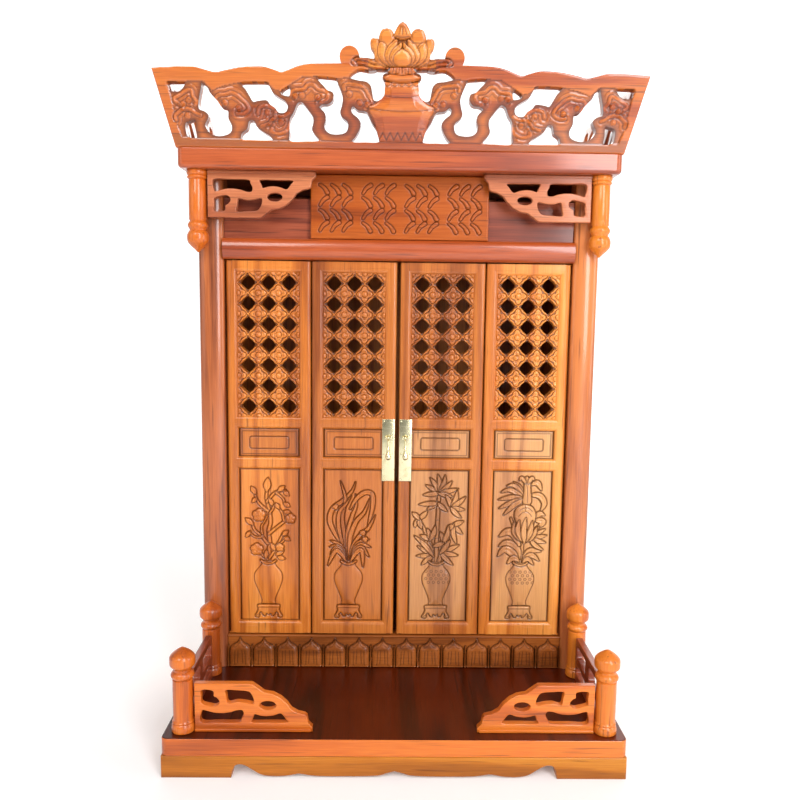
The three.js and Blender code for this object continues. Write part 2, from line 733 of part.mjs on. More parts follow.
const sideCrestFront = crestFrontY + crestThickness + joinery;
for (const [side, sign] of [['left', -1], ['right', 1]]) {
  const geometry = sideCrest(baseBack - crestFrontInset - sideCrestFront);
  geometry.rotateZ(Math.PI / 2);
  geometry.translate(sign > 0 ? crestHalf : -crestHalf + crestThickness, 0, 0);
  const boardMesh = add(`${side}_crest`, leaned(geometry, sign * outwardLean, 0), 'amber');
  boardMesh.position.set(0, sideCrestFront, roofTop + seam);
}

// Door leaves, drawn with their foot at z = 0, their front at y = 0 and their middle at x = 0
function leafPlan(roundSide) {
  const half = leafWidth / 2;
  const points = [];
  const radius = leafThickness / 2;
  const steps = 8;
  for (let i = 0; i <= steps; i += 1) {
    const angle = -Math.PI / 2 + (Math.PI * i) / steps;
    points.push(new THREE.Vector2(half - radius + radius * Math.cos(angle), radius + radius * Math.sin(angle)));
  }
  points.push(new THREE.Vector2(-half, leafThickness), new THREE.Vector2(-half, leafEdgeChamfer),
    new THREE.Vector2(-half + leafEdgeChamfer, 0));
  return roundSide > 0 ? points : mirrored(points);
}

function squarePlan() {
  const half = leafWidth / 2;
  const flat = half - leafEdgeChamfer;
  return [[-flat, 0], [flat, 0], [half, leafEdgeChamfer], [half, leafThickness], [-half, leafThickness],
    [-half, leafEdgeChamfer]].map(vector);
}

const latticeWidth = leafWidth - 2 * stileWidth + 6;
const latticePitchX = latticeWidth / (latticeColumns + 0.2);
const latticePitchZ = latticeHeight / latticeRows;
const latticeBottom = leafHeight - latticeTopRail - latticeHeight;
const waistBottom = latticeBottom - midRailHeight - waistPanelHeight;
const panelWidth = leafWidth - 2 * stileWidth;
const panelTop = lowerPanelBottomRail + lowerPanelHeight;
const vaseFoot = lowerPanelBottomRail + vaseStandLift + vaseStandHeight;
const vaseMouth = vaseFoot + vaseHeight;

function pocket(width, z0, z1, depth) {
  return solid(board(-width / 2, width / 2, -1, depth, z0, z1));
}

// A through hole, and a low boss with four sides between each four holes
function latticeHole(x, z) {
  return plate(circle(x, z, latticeHoleRadius, 6, Math.PI / 2), [], -1, leafThickness + 2);
}

function latticeBoss(x, z, face) {
  const sink = 1;
  const footRadius = latticeBossRadius * (1 + sink / latticeBossHeight);
  const geometry = new THREE.ConeGeometry(footRadius, latticeBossHeight + sink, 4);
  geometry.rotateX(-Math.PI);
  geometry.translate(x, face + sink - (latticeBossHeight + sink) / 2, z);
  return geometry;
}

function vaseOutline() {
  const half = vaseWidth / 2;
  const profile = [[0.5, 0], [0.86, 0.42], [1, 0.66], [0.86, 0.84], [0.5, 0.93], [0.56, 1]];
  const right = profile.map(([x, z]) => new THREE.Vector2(x * half, vaseFoot + z * vaseHeight));
  return right.concat(mirrored(right));
}

function standOutline() {
  const half = vaseStandWidth / 2;
  const profile = [[0, 0.4], [0.4, 0.5], [0.62, 0], [0.95, 0], [0.96, 0.7], [0.7, 1]];
  const base = lowerPanelBottomRail + vaseStandLift;
  const right = profile.map(([x, z]) => new THREE.Vector2(x * half, base + z * vaseStandHeight));
  return right.concat(mirrored(right.slice(1)));
}

function rosette(x, z, radius, petals) {
  const points = [];
  for (let i = 0; i < 2 * petals; i += 1) {
    const reach = i % 2 === 0 ? radius : radius * 0.62;
    const angle = (Math.PI * i) / petals + 0.3;
    points.push(new THREE.Vector2(x + reach * Math.cos(angle), z + reach * Math.sin(angle)));
  }
  return points;
}

function fan(x, z, tips, width) {
  return tips.map(([tipX, tipZ]) => blade(x, z, tipX, tipZ, width));
}

// The plants stand over the vase's mouth at (0, 0); their sizes are those of a panel of the height here
const plantPanelHeight = 190;
const plants = {
  plum: () => [
    stroke([[0, -4], [-1, 20], [1, 60], [1, 106]], 5, 2.6, 2),
    stroke([[0, 38], [14, 51], [27, 57]], 3.6, 2.6, 1),
    stroke([[0, 22], [-12, 34], [-24, 46]], 3.6, 2.6, 1),
    stroke([[0, 62], [-12, 74], [-20, 92]], 3.6, 2.6, 1),
    stroke([[0, 76], [12, 86], [23, 88]], 3.6, 2.6, 1),
    stroke([[2, 2], [11, 18], [17, 34]], 3.6, 2.6, 1),
    rosette(-13, 60, 8, 5), rosette(28, 56, 7, 5), rosette(-13, 17, 8, 5),
    ...[[22, 74], [19, 14]].map(([x, z]) => circle(x, z, 4.5, 5, 0.4)),
  ],
  orchid: () => [
    stroke([[-2, -4], [-13, 22], [-23, 42], [-22, 62], [-13, 74]], 6, 3, 3),
    stroke([[0, -4], [-4, 40], [-3, 72], [9, 106]], 6, 1.2, 2),
    stroke([[0, -4], [2, 36], [11, 58], [25, 72]], 5, 2, 2),
    stroke([[3, 66], [13, 86], [25, 92], [31, 84], [26, 52]], 3, 5, 4),
    stroke([[2, 2], [9, 25], [24, 40], [34, 61]], 4.5, 1.2, 2),
    blade(-2, 66, -12, 107, 5),
    ...fan(-6, 13, [[-22, 28], [-25, 15], [-23, -3]], 6),
    ...fan(10, 13, [[27, 30], [27, 16], [21, -3]], 6),
  ],
  bamboo: () => [
    stroke([[-2, -4], [-10, 28], [-22, 54]], 4, 3, 1),
    stroke([[0, -4], [0, 40], [2, 90]], 5, 3, 1),
    stroke([[2, -4], [11, 26], [20, 48]], 4, 3, 1),
    ...fan(2, 86, [[-14, 98], [0, 110], [14, 106], [25, 94], [-28, 68]], 8),
    ...fan(18, 66, [[12, 82], [25, 90], [34, 78]], 8),
    ...fan(20, 46, [[31, 34], [22, 20]], 8),
    ...fan(-3, 8, [[-23, 16], [-20, 0], [-15, 26]], 7),
    ...fan(5, 10, [[28, 22], [24, 4]], 7),
  ],
  chrysanthemum: () => [
    stroke([[-1, -4], [2, 20], [10, 36]], 4.5, 3, 1),
    stroke([[0, 10], [-9, 34], [-4, 60], [6, 100]], 4, 3, 2),
    stroke([[0, 62], [-8, 76], [-12, 86]], 4, 3, 1),
    rosette(-12, 86, 16, 5), rosette(15, 39, 17, 5), rosette(4, 64, 12, 4), rosette(8, 100, 9, 4),
    ...fan(-4, 14, [[-26, 40], [-28, 20]], 12),
    ...fan(8, 72, [[26, 94], [25, 62]], 12),
    ...fan(4, 4, [[23, 18]], 10),
  ],
};

function relief(outline, sinkFrom) {
  return plate(outline, [], sinkFrom - reliefHeight, reliefHeight + 1);
}

function leafSolid(plan, plant, holeAtX) {
  let leaf = solid(slab(plan, 0, leafHeight));
  const latticeSink = 1;
  leaf = leaf.subtract(pocket(latticeWidth, latticeBottom, latticeBottom + latticeHeight, latticeSink));
  leaf = leaf.subtract(pocket(panelWidth, waistBottom, waistBottom + waistPanelHeight, waistGrooveDepth));
  leaf = leaf.subtract(pocket(panelWidth, lowerPanelBottomRail, panelTop, panelSink));
  const grooveLow = waistBottom + (waistPanelHeight - waistGrooveHeight) / 2;
  const line = 2;
  const grooveWidth = panelWidth * 0.65;
  const ring = pocket(grooveWidth, grooveLow, grooveLow + waistGrooveHeight, 2 * waistGrooveDepth)
    .subtract(pocket(grooveWidth - 2 * line, grooveLow + line, grooveLow + waistGrooveHeight - line,
      3 * waistGrooveDepth));
  leaf = leaf.subtract(ring);
  const figures = [vaseOutline(), standOutline()];
  const plantScale = lowerPanelHeight / plantPanelHeight;
  const across = panelWidth / (plantPanelHeight * 0.38);
  for (const outline of plants[plant]()) {
    figures.push(moved(scaled(outline, across, plantScale), 0, vaseMouth));
  }
  for (const outline of figures) {
    leaf = leaf.add(solid(relief(outline, panelSink)));
  }
  for (let row = 0; row < latticeRows; row += 1) {
    for (let column = 0; column < latticeColumns; column += 1) {
      const x = (column - (latticeColumns - 1) / 2) * latticePitchX;
      const z = latticeBottom + (row + 0.5) * latticePitchZ;
      if (row > 0 && column > 0) {
        const boss = latticeBoss(x - latticePitchX / 2, z - latticePitchZ / 2, latticeSink);
        leaf = leaf.add(solid(boss));
      }
      leaf = leaf.subtract(solid(latticeHole(x, z)));
    }
  }
  if (holeAtX !== null) {
    for (const [z0, z1] of [[-1, pivotSunk], [leafHeight - pivotSunk, leafHeight + 1]]) {
      const radius = pivotRadius + pivotClearance;
      const bore = new THREE.CylinderGeometry(radius, radius, z1 - z0, roundSteps);
      bore.rotateX(Math.PI / 2);
      bore.translate(holeAtX, leafThickness / 2, (z0 + z1) / 2);
      leaf = leaf.subtract(solid(bore));
    }
  }
  return geometryOf(leaf);
}

// A pivot pin, sunk in the leaf and standing proud of it into the rail
const pinLength = pivotSunk + pivotProud - 2 * joinery;

function pivotPin(name, x, z) {
  const geometry = new THREE.CylinderGeometry(pivotRadius, pivotRadius, pinLength, roundSteps);
  geometry.rotateX(Math.PI / 2);
  const pin = add(name, geometryOf(solid(geometry)), 'brass');
  pin.position.set(x, pivotY, z);
}

// One leaf of a butt hinge: a plate on the door's back, and its share of the knuckles round the fold's axis
function hingeLeaf(name, x, z, sign, isMiddle) {
  const plateFront = bodyFront + leafThickness + seam;
  const knuckleY = foldY - plateFront;
  const clear = knuckleRadius + knuckleGap;
  const between = (x0, x1, y0, y1, z0, z1) => board(Math.min(x0, x1), Math.max(x0, x1), y0, y1, z0, z1);
  let hinge = solid(between(sign * clear, sign * (clear + hingeWidth), 0, hingePlateThickness, 0, hingeHeight));
  const third = hingeHeight / 3;
  const spans = isMiddle ? [[third + knuckleGap / 2, 2 * third - knuckleGap / 2]]
    : [[0, third - knuckleGap / 2], [2 * third + knuckleGap / 2, hingeHeight]];
  for (const [low, high] of spans) {
    const knuckle = new THREE.CylinderGeometry(knuckleRadius, knuckleRadius, high - low, 6);
    knuckle.rotateX(Math.PI / 2);
    knuckle.translate(0, knuckleY, (low + high) / 2);
    const web = between(0, sign * (clear + 1), knuckleY - knuckleRadius * 0.7, hingePlateThickness, low, high);
    hinge = hinge.add(solid(knuckle)).add(solid(web));
  }
  const mesh = add(name, geometryOf(hinge), 'brass');
  mesh.position.set(x, plateFront, leafBottom + z);
}

function brassPlate(name, x) {
  const mesh = add(name, board(-brassWidth / 2, brassWidth / 2, 0, brassThickness, -brassHeight / 2,
    brassHeight / 2), 'brass');
  mesh.position.set(x, bodyFront - brassThickness - seam, leafBottom + brassCentreHeight);
}

// The staple that carries the pull: two cheeks on the plate with a pin between them
function pullStaple(name, x) {
  const half = stapleWidth / 2;
  const reach = pullPivotStandoff + pullPinRadius + 0.8;
  const tall = 2 * (pullPinRadius + 0.8);
  const parts = [];
  for (const sign of [-1, 1]) {
    const inside = sign * (half - stapleCheek);
    const outside = sign * half;
    parts.push(board(Math.min(inside, outside), Math.max(inside, outside), -reach, 0, -tall / 2, tall / 2));
  }
  const pin = new THREE.CylinderGeometry(pullPinRadius, pullPinRadius, stapleWidth - stapleCheek, 6);
  pin.rotateZ(Math.PI / 2);
  pin.translate(0, -pullPivotStandoff, 0);
  parts.push(pin);
  const mesh = add(name, geometryOf(joined(parts)), 'brass');
  mesh.position.set(x, bodyFront - brassThickness - 2 * seam, leafBottom + pullPivotHeight);
}

// The drop pull: an eye round the staple's pin and a long drop below it
function dropPull(name, x) {
  const eyeThickness = stapleWidth - 2 * stapleCheek - 2 * pullEyeClearance;
  const eye = plate(circle(0, 0, pullEyeRadius, 10), [circle(0, 0, pullPinRadius + pullEyeClearance, 8)],
    -eyeThickness / 2, eyeThickness);
  eye.rotateZ(Math.PI / 2);
  const half = pullWidth / 2;
  const drop = [[0.3, -0.08], [0.42, -0.3], [0.72, -0.6], [1, -0.82], [0.6, -1]];
  const right = drop.map(([u, v]) => new THREE.Vector2(u * half, v * pullLength));
  const outline = right.reverse().concat(mirrored(right));
  const dropPlate = plate(outline.reverse(), [], -pullThickness / 2, pullThickness);
  let pull = solid(eye).add(solid(dropPlate));
  const bore = new THREE.CylinderGeometry(pullPinRadius + pullEyeClearance, pullPinRadius + pullEyeClearance,
    3 * stapleWidth, 8);
  bore.rotateZ(Math.PI / 2);
  pull = pull.subtract(solid(bore));
  const mesh = add(name, geometryOf(pull), 'brass');
  mesh.position.set(x, bodyFront - brassThickness - 2 * seam - pullPivotStandoff, leafBottom + pullPivotHeight);
}

const doors = [
  ['left', -1, 'plum', 'orchid'],
  ['right', 1, 'chrysanthemum', 'bamboo'],
];
for (const [side, sign, outerPlant, innerPlant] of doors) {
  const outerX = sign * (outerLeafEdge - leafWidth / 2);
  const innerX = sign * (innerLeafEdge - leafWidth / 2);
  const outer = add(`${side}_outer_leaf`, leafSolid(leafPlan(sign), outerPlant, sign * pivotX - outerX), 'amber');
  outer.position.set(outerX, bodyFront, leafBottom);
  const inner = add(`${side}_inner_leaf`, leafSolid(squarePlan(), innerPlant, null), 'amber');
  inner.position.set(innerX, bodyFront, leafBottom);
  const bottomPinZ = leafBottom + pivotSunk - joinery - pinLength / 2;
  pivotPin(`${side}_bottom_pivot_pin`, sign * pivotX, bottomPinZ);
  pivotPin(`${side}_top_pivot_pin`, sign * pivotX, leafTop - pivotSunk + joinery + pinLength / 2);
  for (const [place, z] of [['lower', hingeEndDistance], ['upper', leafHeight - hingeEndDistance - hingeHeight]]) {
    hingeLeaf(`${side}_${place}_hinge_outer`, sign * foldX, z, sign, true);
    hingeLeaf(`${side}_${place}_hinge_inner`, sign * foldX, z, -sign, false);
  }
  const brassX = sign * (leafMeetingGap / 2 + brassEdgeDistance + brassWidth / 2);
  brassPlate(`${side}_brass_plate`, brassX);
  pullStaple(`${side}_pull_staple`, brassX);
  dropPull(`${side}_drop_pull`, brassX);
}

export default cabinet;
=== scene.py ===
# %% [markdown]
# # A household altar cabinet in lacquered wood
# The real thing is a small shrine of hardwood boards: a niche behind two folding pairs of carved doors, a
# low deck with turned balusters in front, and a pierced crest with a lotus in a vase on the roof. The
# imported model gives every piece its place, so this lesson dresses that frame: it models the boards, the
# turned posts and the carving again with finer shapes, and gives them lacquer, grain and brass.

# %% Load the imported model
import json
import math

import bmesh
import bpy
import numpy as np
from mathutils import Matrix, Vector

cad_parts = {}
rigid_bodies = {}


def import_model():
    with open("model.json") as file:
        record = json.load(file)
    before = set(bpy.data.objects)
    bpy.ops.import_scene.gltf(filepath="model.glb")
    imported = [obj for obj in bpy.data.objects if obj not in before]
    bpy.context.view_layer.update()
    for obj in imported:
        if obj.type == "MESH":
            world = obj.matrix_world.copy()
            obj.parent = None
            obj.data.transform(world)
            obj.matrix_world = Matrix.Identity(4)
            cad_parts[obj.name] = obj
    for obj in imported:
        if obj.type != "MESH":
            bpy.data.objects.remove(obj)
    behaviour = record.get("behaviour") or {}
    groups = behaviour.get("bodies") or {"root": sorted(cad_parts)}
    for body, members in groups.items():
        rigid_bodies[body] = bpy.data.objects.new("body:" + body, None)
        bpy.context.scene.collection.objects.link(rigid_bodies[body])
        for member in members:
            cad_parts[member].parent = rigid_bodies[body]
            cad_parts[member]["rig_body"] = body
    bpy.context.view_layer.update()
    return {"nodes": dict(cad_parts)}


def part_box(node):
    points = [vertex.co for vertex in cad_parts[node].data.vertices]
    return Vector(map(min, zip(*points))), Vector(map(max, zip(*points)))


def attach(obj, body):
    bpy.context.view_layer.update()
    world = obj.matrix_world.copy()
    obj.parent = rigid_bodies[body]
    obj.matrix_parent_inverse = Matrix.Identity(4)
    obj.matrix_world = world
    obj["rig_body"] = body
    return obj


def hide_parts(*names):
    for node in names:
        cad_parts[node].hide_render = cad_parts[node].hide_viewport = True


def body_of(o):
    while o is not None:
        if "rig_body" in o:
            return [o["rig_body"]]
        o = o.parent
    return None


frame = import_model()
MM = 0.001


def place_of(node):
    """Lowest and highest corner of a node, in millimetres."""
    low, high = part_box(node)
    return [c / MM for c in low], [c / MM for c in high]


print("nodes in the frame:", len(frame["nodes"]))

# %% [markdown]
# ## The camera
# The photograph was taken from a little above the middle, close in front. A camera is a place, a
# direction and a lens. Here the three come from fitting known corners of the cabinet, such as the ends of
# the base and of the roof, to where the photograph shows them, which is surer than turning it by hand.

# %% Make the camera
camera_place = Vector((-10.39, -918.06, 477.15)) * MM
camera_turn = 0.0148
camera_tilt = 0.1121
camera_roll = -0.0129
camera_lens = 34.66

ahead = Vector((math.sin(camera_turn) * math.cos(camera_tilt), math.cos(camera_turn) * math.cos(camera_tilt),
                -math.sin(camera_tilt)))
level = Vector((math.cos(camera_turn), -math.sin(camera_turn), 0))
camera = bpy.data.objects.new("camera", bpy.data.cameras.new("camera"))
axes = Matrix((level, level.cross(ahead), -ahead)).transposed()
camera.matrix_world = (Matrix.Translation(camera_place)
                       @ (Matrix.Rotation(camera_roll, 3, ahead) @ axes).to_4x4())
camera.data.lens = camera_lens
camera.data.sensor_width = 36
camera.data.clip_start = 0.01
bpy.context.collection.objects.link(camera)
bpy.context.scene.camera = camera
print("camera at", [round(c, 3) for c in camera_place])

# %% [markdown]
# ## Light and floor
# Lacquer shows the room: in the photograph a broad bright source on the right washes that side of the
# doors pale, and the left keeps its full orange. Small lamps would leave hard spots on the lacquer, so
# all five are large and soft: a key from the front left, a tall panel and a window on the right that the
# lacquer mirrors, and two weak ones, from the left and from behind, so that no side is black. The floor
# bends up into a backdrop.

# %% Light the cabinet and lay a floor
def soft_lamp(name, place, target, size, watts, colour):
    lamp = bpy.data.lights.new(name, "AREA")
    lamp.shape = "RECTANGLE"
    lamp.size, lamp.size_y = size
    lamp.energy = watts
    lamp.color = colour
    holder = bpy.data.objects.new(name, lamp)
    aim = Vector(target) - Vector(place)
    holder.matrix_world = Matrix.Translation(place) @ aim.to_track_quat("-Z", "Y").to_matrix().to_4x4()
    bpy.context.collection.objects.link(holder)


cabinet_middle = (0, 0, 0.38)
soft_lamp("key_lamp", (-1.2, -3.0, 2.7), cabinet_middle, (1.5, 1.5), 58, (1, 0.98, 0.95))
soft_lamp("right_panel", (0.98, -2.1, 1.4), cabinet_middle, (0.75, 2.4), 58, (0.98, 0.97, 1))
soft_lamp("right_window", (2.3, -0.9, 0.9), cabinet_middle, (0.7, 1.6), 14, (0.98, 0.98, 1))
soft_lamp("left_fill", (-2.2, -1.2, 1.0), cabinet_middle, (1.2, 1.6), 8, (1, 0.95, 0.9))
soft_lamp("back_fill", (0.6, 2.0, 1.8), cabinet_middle, (1.4, 1.4), 12, (1, 0.98, 0.95))

floor_half, floor_rows = 6, 96
bend_start, bend_radius = 1.5, 1.4
floor_form = bmesh.new()
bmesh.ops.create_grid(floor_form, x_segments=2, y_segments=floor_rows, size=floor_half)
for vert in floor_form.verts:
    beyond = vert.co.y - bend_start
    if beyond > 0:
        bend = min(beyond / bend_radius, math.pi / 2)
        vert.co.y = bend_start + bend_radius * math.sin(bend)
        vert.co.z = bend_radius * (1 - math.cos(bend)) + max(0, beyond - bend_radius * math.pi / 2)
for face in floor_form.faces:
    face.smooth = True
floor_mesh = bpy.data.meshes.new("floor")
floor_form.to_mesh(floor_mesh)
floor_form.free()
floor = bpy.data.objects.new("floor", floor_mesh)
bpy.context.collection.objects.link(floor)
print("lamps and floor are in place")

# %% [markdown]
# ## Shader maths
# A finish is a sum of many small patterns. Written as node links that is long to read, so a small class
# wraps a socket and lets Python's own operators add the Math nodes, and one method adds any other node.

# %% A socket that can be calculated with
class Wire:
    def __init__(self, finish, socket):
        self.finish = finish
        self.socket = socket

    def maths(self, operation, first, second=None):
        values = {0: first} if second is None else {0: first, 1: second}
        return self.finish.node("ShaderNodeMath", {"operation": operation}, values)

    def __add__(self, other):
        return self.maths("ADD", self, other)

    def __sub__(self, other):
        return self.maths("SUBTRACT", self, other)

    def __mul__(self, other):
        return self.maths("MULTIPLY", self, other)

    def __pow__(self, other):
        return self.maths("POWER", self, other)

    def sine(self):
        return self.maths("SINE", self)

    def between(self, low, high):
        """0 below low, 1 above high, and smooth between them."""
        return self.finish.node("ShaderNodeMapRange", {"interpolation_type": "SMOOTHSTEP"},
                                {"Value": self, "From Min": low, "From Max": high})


class Finish:
    """A node tree, of a material or of the world round it, and the shader that it ends in."""
    def __init__(self, owner, shader):
        owner.use_nodes = True
        self.owner = owner
        self.tree = owner.node_tree
        self.shader = self.tree.nodes[shader]

    def node(self, kind, settings, values, output=0):
        made = self.tree.nodes.new(kind)
        for setting, value in settings.items():
            if setting == "stops":
                for _ in range(len(value) - 2):
                    made.color_ramp.elements.new(0.5)
                for element, (share, colour) in zip(made.color_ramp.elements, value):
                    element.position = share
                    element.color = (*colour, 1)
            else:
                setattr(made, setting, value)
        for socket, value in values.items():
            self.join(made.inputs[socket], value)
        return Wire(self, made.outputs[output])

    def join(self, socket, value):
        if isinstance(value, Wire):
            self.tree.links.new(value.socket, socket)
        else:
            socket.default_value = value

    def dress(self, **values):
        """Sets the shader's own sockets, which are named with _ for each space."""
        for socket, value in values.items():
            self.join(self.shader.inputs[socket.replace("_", " ")], value)
        return self.owner

    def place(self, stretch=(1, 1, 1)):
        """Places on the piece, in metres times the stretch along each axis."""
        spot = self.node("ShaderNodeTexCoord", {}, {}, "Object")
        return self.node("ShaderNodeMapping", {}, {"Vector": spot, "Scale": stretch})

    def noise(self, where, scale, detail=2.0, twist=0.0):
        return self.node("ShaderNodeTexNoise", {}, {"Vector": where, "Scale": scale, "Detail": detail,
                                                    "Distortion": twist})

    def blend(self, share, first, second):
        """Colour between two others. A Mix node has its colour sockets after the ones for numbers."""
        colour_a, colour_b, colour_out = 6, 7, 2
        return self.node("ShaderNodeMix", {"data_type": "RGBA"},
                         {0: share, colour_a: first, colour_b: second}, colour_out)

    def raised(self, height, strength, distance):
        return self.node("ShaderNodeBump", {}, {"Height": height, "Strength": strength, "Distance": distance})


def new_finish(name):
    return Finish(bpy.data.materials.new(name), "Principled BSDF")


def paint(red, green, blue):
    """A colour as a screen shows it, 0 to 255, as the light that the shader works in."""
    return [((c / 255 + 0.055) / 1.055) ** 2.4 if c > 10 else c / 255 / 12.92 for c in (red, green, blue)]


print("the shader classes are ready")

# %% [markdown]
# ## The room
# A glossy coat shows whatever stands in front of it. The room is bright behind the cabinet, where it is
# only a backdrop, and darker behind the camera, so that the front keeps its depth of colour.

# %% Fill the room with light
backdrop_light = 0.55
front_light = 0.16
room = bpy.data.worlds.new("studio")
bpy.context.scene.world = room
studio = Finish(room, "Background")
direction = studio.node("ShaderNodeTexCoord", {}, {}, "Generated")
towards_back = studio.node("ShaderNodeSeparateXYZ", {}, {"Vector": direction}, "Y").between(-0.5, 0.7)
studio.dress(Color=(1, 0.99, 0.975, 1), Strength=towards_back * (backdrop_light - front_light) + front_light)
bpy.context.scene.view_settings.view_transform = "Standard"
print("the room is lit")

# %% [markdown]
# ## Lacquered wood
# The boards are a warm hardwood with a long open grain: wide growth bands that run along the board and
# bend round its figure, fine fibres, and short dark pores. A thick clear lacquer lies over them, so the
# wood itself is half matt and the coat above it is glossy and smooth. One function makes the finish for
# any direction of the grain, because each board is cut along its own length. Carved hollows are darkened,
# partly as stain that gathers there and partly as painted shade: the carved pieces carry an attribute for
# it, 1 in a groove and 0 elsewhere, which darkens them.

# %% The finishes
def wood(name, grain, light, mid, dark, gloss=0.5, carved=False):
    finish = new_finish(name)
    figure_along, figure_across = 3.2, 46.0
    fibre_along, fibre_across = 26.0, 800.0
    ring_count = 26
    stretch = [figure_along if axis == grain else figure_across for axis in "XYZ"]
    fine = [fibre_along if axis == grain else fibre_across for axis in "XYZ"]
    figure = finish.noise(finish.place(stretch), 0.4, 2.0, 0.4)
    rings = ((figure * ring_count).sine() * 0.5 + 0.5) ** 3
    fibre = finish.noise(finish.place(fine), 1.0, 2.0)
    pores = finish.noise(finish.place([c * 0.5 for c in fine]), 1.0, 1.0, 0.3).between(0.62, 0.76)
    patch = finish.noise(finish.place([c * 0.16 for c in stretch]), 1.0, 1.5)
    tone = fibre * 0.5 + patch * 0.9 - rings * 0.32 - 0.05
    colour = finish.node("ShaderNodeValToRGB",
                         {"stops": [(0.12, dark), (0.5, mid), (0.88, light)]}, {"Fac": tone})
    pore_colour = [c * 0.5 for c in dark] + [1]
    colour = finish.blend(pores * 0.6, colour, pore_colour)
    if carved:
        # Carved hollows blend towards a very dark tone: partly stain, partly painted shade.
        hollow = finish.node("ShaderNodeAttribute", {"attribute_name": "hollow"}, {}, "Fac")
        stain_and_shade_colour = [c * 0.34 for c in dark] + [1]
        colour = finish.blend(hollow * 0.85, colour, stain_and_shade_colour)
    bump = finish.raised(fibre * 0.5 - pores * 0.9 - rings * 0.3, 0.35, 0.00025)
    rough = fibre * 0.16 + 0.29
    return finish.dress(Base_Color=colour, Roughness=rough, Normal=bump, Coat_Weight=gloss,
                        Coat_Roughness=0.12, Specular_IOR_Level=0.15 + gloss * 0.35)


def toned(name, light, mid, dark, gloss=0.5):
    """One wood of the cabinet: its three tones as a screen shows them, and how much its coat mirrors."""
    return {"name": name, "light": paint(*light), "mid": paint(*mid), "dark": paint(*dark), "gloss": gloss}


amber = toned("amber", (230, 150, 68), (199, 112, 38), (146, 70, 20))
honey = toned("honey", (224, 128, 40), (196, 95, 22), (140, 58, 12))
ember = toned("ember", (204, 112, 36), (166, 72, 16), (106, 38, 8), 0.8)
ochre = toned("ochre", (210, 128, 54), (176, 96, 34), (124, 58, 18))
russet = toned("russet", (188, 88, 34), (150, 60, 20), (98, 34, 10), 0.8)
umber = toned("umber", (208, 122, 62), (170, 90, 44), (112, 52, 24), 0.7)
teak = toned("teak", (206, 138, 48), (178, 104, 26), (128, 68, 14), 0.2)
chestnut = toned("chestnut", (182, 92, 28), (150, 66, 14), (96, 38, 8), 0.2)
brown = toned("brown", (178, 102, 42), (142, 75, 27), (90, 44, 14), 0.3)
# A paler, pinker tone: partly a tone of its own, partly painted light, the pale wash of the bright source on
# the right.
rose = toned("rose", (216, 158, 96), (184, 122, 72), (128, 76, 40))
cedar = toned("cedar", (204, 128, 84), (168, 92, 58), (112, 54, 32), 0.3)
plum_wood = toned("plum", (170, 86, 54), (132, 58, 34), (84, 32, 18))
# A very dark tone for the deck's top: painted shade, for the shadow that lies on it.
mahogany = toned("mahogany", (104, 35, 5), (74, 21, 1), (42, 11, 1), 0.15)

finishes = {}


def finish_for(tones, grain, carved=False):
    """The lacquered wood of these tones, made once for each direction of the grain."""
    key = f"{tones['name']}_{grain}" + ("_carved" if carved else "")
    if key not in finishes:
        finishes[key] = wood(**{**tones, "name": key}, grain=grain, carved=carved)
    return finishes[key]


def brass_finish(name, bright, tarnished, share):
    finish = new_finish(name)
    brushed = finish.noise(finish.place((60, 60, 900)), 1.0, 3.0)
    tarnish = finish.noise(finish.place((70, 70, 70)), 1.0, 4.0).between(0.5, 0.75)
    colour = finish.blend(tarnish * share, [*bright, 1], [*tarnished, 1])
    return finish.dress(Base_Color=colour, Metallic=1.0, Roughness=brushed * 0.14 + tarnish * 0.1 + 0.17,
                        Normal=finish.raised(brushed, 0.2, 0.0001))


def floor_finish():
    finish = new_finish("pale_floor")
    speck = finish.noise(finish.place((30, 30, 30)), 1.0, 3.0)
    colour = finish.blend(speck, [0.88, 0.88, 0.88, 1], [0.91, 0.91, 0.91, 1])
    spot = finish.node("ShaderNodeTexCoord", {}, {}, "Object")
    far_back = finish.node("ShaderNodeSeparateXYZ", {}, {"Vector": spot}, "Y").between(-1.6, 2.4)
    glow = finish.blend(far_back, [0, 0, 0, 1], [0.5, 0.5, 0.5, 1])
    return finish.dress(Base_Color=colour, Roughness=0.6, Emission_Color=glow, Emission_Strength=1.0)


brass = brass_finish("brass", paint(240, 232, 190), paint(206, 188, 132), 0.5)
# A dark brass for the pivot pins: painted shade, which keeps them from glinting in the gap where they sit.
shade_dark_brass = brass_finish("brass_aged", paint(120, 98, 58), paint(70, 54, 32), 0.9)
floor.data.materials.append(floor_finish())
print("finishes: woods on demand, brass, floor")

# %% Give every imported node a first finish
grain_of = {"left_post": "Z", "right_post": "Z", "left_wall": "Z", "right_wall": "Z", "back_panel": "Z",
            "left_apron": "Y", "right_apron": "Y", "left_deck_panel": "Y", "right_deck_panel": "Y",
            "left_crest": "Y", "right_crest": "Y"}
brass_words = ("pin", "hinge", "brass", "staple", "pull")
for name, node in frame["nodes"].items():
    if any(word in name for word in brass_words):
        material = brass
    elif name == "deck_board":
        material = finish_for(mahogany, "Y")
    elif name in ("lotus_rail", "frieze_panel", "floor_board"):
        material = finish_for(brown, "X")
    else:
        material = finish_for(amber, grain_of.get(name, "Z" if "leaf" in name or "baluster" in name else "X"))
    node.data.materials.clear()
    node.data.materials.append(material)
print("materials made:", sorted(finishes))
